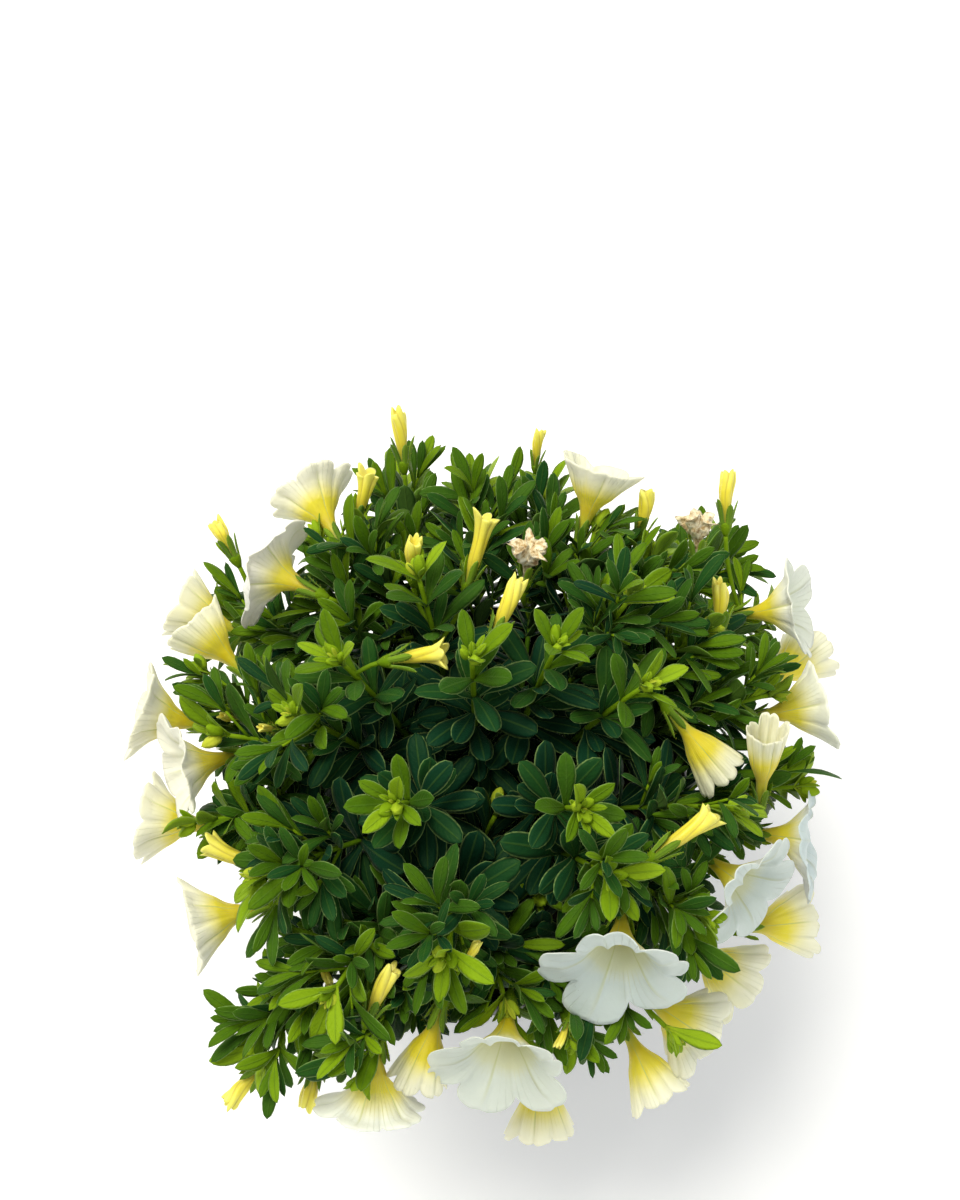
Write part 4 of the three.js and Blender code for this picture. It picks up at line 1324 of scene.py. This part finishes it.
def lay_out(stems, heads, stalks):
    """The leaves and the side shoots of each stem, placed in turn wherever they have room."""
    occupied = Occupied()
    for i, head in enumerate(heads):
        occupied.add(head_points(head, i < len(FLOWERS)), FLOWER, radius=CLEARANCE.petal)
    for shoot in itertools.chain(*stems):
        occupied.add_path(shoot, STEM.base_radius)
    for stalk in stalks:
        occupied.add_path(stalk, PEDICEL.radius)
    leaves = grow("leaves", model_leaves, stems, occupied)
    free_the_view(heads, occupied)
    for shoots, each in zip(stems, leaves):
        each[:] = [leaf for leaf in each if not occupied.blocked(leaf_points(leaf), shoots[0], VIEW_GAPS)]
    for each, more in zip(leaves, grow("fill", fill_leaves, stems, occupied)):
        each += more
    return leaves, grow("tufts", tufts_of, stems, occupied)


def make_stem(number, material, shoots, leaves, tufts, borne):
    """One leafy stem, with the stalks and calyces of the flowers that it bears."""
    random = random_for("blades", number)
    surface = Surface("young", "tone", "across", "along", "under", "blade")
    for shoot in shoots:
        base = STEM.branch_radius if shoot.branch else STEM.base_radius
        add_stem(surface, shoot, (0.85 * base, 0.8 * STEM.tip_radius), (0.35, 0.95))
        leaves += heart_leaves(shoot, random)
        add_tip_buds(surface, shoot, random)
    for sprig, small in tufts:
        add_stem(surface, sprig, TUFT.radii, (0.7, 1.0), sides=6)
        leaves += small
    for leaf in leaves:
        # The young value now also carries the painted light and shade of the leaf's place in the mound.
        leaf.young = freshness_and_daylight(leaf)
        add_blade(surface, leaf, random)
    for head, stalk, radii, scale in borne:
        add_stem(surface, stalk, radii, (0.8, 0.9), pitch=2.0)
        add_calyx(surface, head, random, scale)
    surface.piece(f"foliage_{number + 1:02d}", material, f"leafy_stem_{number + 1:02d}", "foliage")


def make_foliage(material):
    stems = [shoots_of(plans, number) for number, plans in enumerate(STEMS)]
    shoots = list(itertools.chain(*stems))
    heads = FLOWERS + BUDS + WITHERED
    stalks = [pedicel_of(head, shoots) for head in heads]
    for number, path in enumerate(shoots + stalks):
        path.number = number
    borne = [(head, stalk, (0.6, 0.7), 1.0) for head, stalk in zip(heads, stalks)]
    borne += [(bud, pedicel_of(bud, shoots), (0.45, 0.5), bud[2] / SMALL_FROM) for bud in SMALL_BUDS]
    leaves, tufts = lay_out(stems, heads, stalks)
    for number, its_shoots in enumerate(stems):
        its_own = [one for one in borne if one[1].stem == number]
        make_stem(number, material, its_shoots, leaves[number], tufts[number], its_own)


def warmth_from_light(number, seat):
    """Painted light on the petals: flowers on the left get a creamy, sunlit white, those at the lower right a
    whiter one, and four a bluish white as painted shade.
    """
    return 0.0 if number in SHADED_FLOWERS else float(smooth(75, -45, seat[0] - 0.5 * seat[1]))


def make_flowers():
    petal, furled, withered = petal_material(), bud_material(), withered_material()
    for i, head in enumerate(FLOWERS):
        surface = Surface("reach", "lobe", "inner", "warmth", "spread")
        add_corolla(surface, head, warmth_from_light(i + 1, head[0]), random_for("flower", i))
        surface.piece(f"flower_{i + 1:02d}", petal, f"corolla_{i + 1:02d}", "corolla")
    for i, head in enumerate(BUDS):
        surface = Surface("reach", "lobe", "warmth")
        opening = BUD.opening if i + 1 in OPENING_BUDS else 0.0
        add_yellow_bud(surface, head, head[2], random_for("bud", i), opening=opening)
        surface.piece(f"furled_bud_{i + 1:02d}", furled, f"yellow_bud_{i + 1:02d}", "bud")
    for i, head in enumerate(SMALL_BUDS):
        surface = Surface("reach", "lobe", "warmth")
        add_yellow_bud(surface, head, SMALL_FROM, random_for("small_bud", i), head[2] / SMALL_FROM)
        surface.piece(f"small_bud_{i + 1}", furled, None, "bud")
    for i, head in enumerate(WITHERED):
        surface = Surface("reach", "warmth")
        add_withered(surface, head, random_for("withered", i))
        surface.piece(f"dry_flower_{i + 1}", withered, f"withered_flower_{i + 1}", "withered")


make_camera()
make_stage()
nursery_pot(pot_material())
potting_mix(soil_material(), random_for("soil"))
make_foliage(foliage_material())
make_flowers()

bpy.context.view_layer.update()
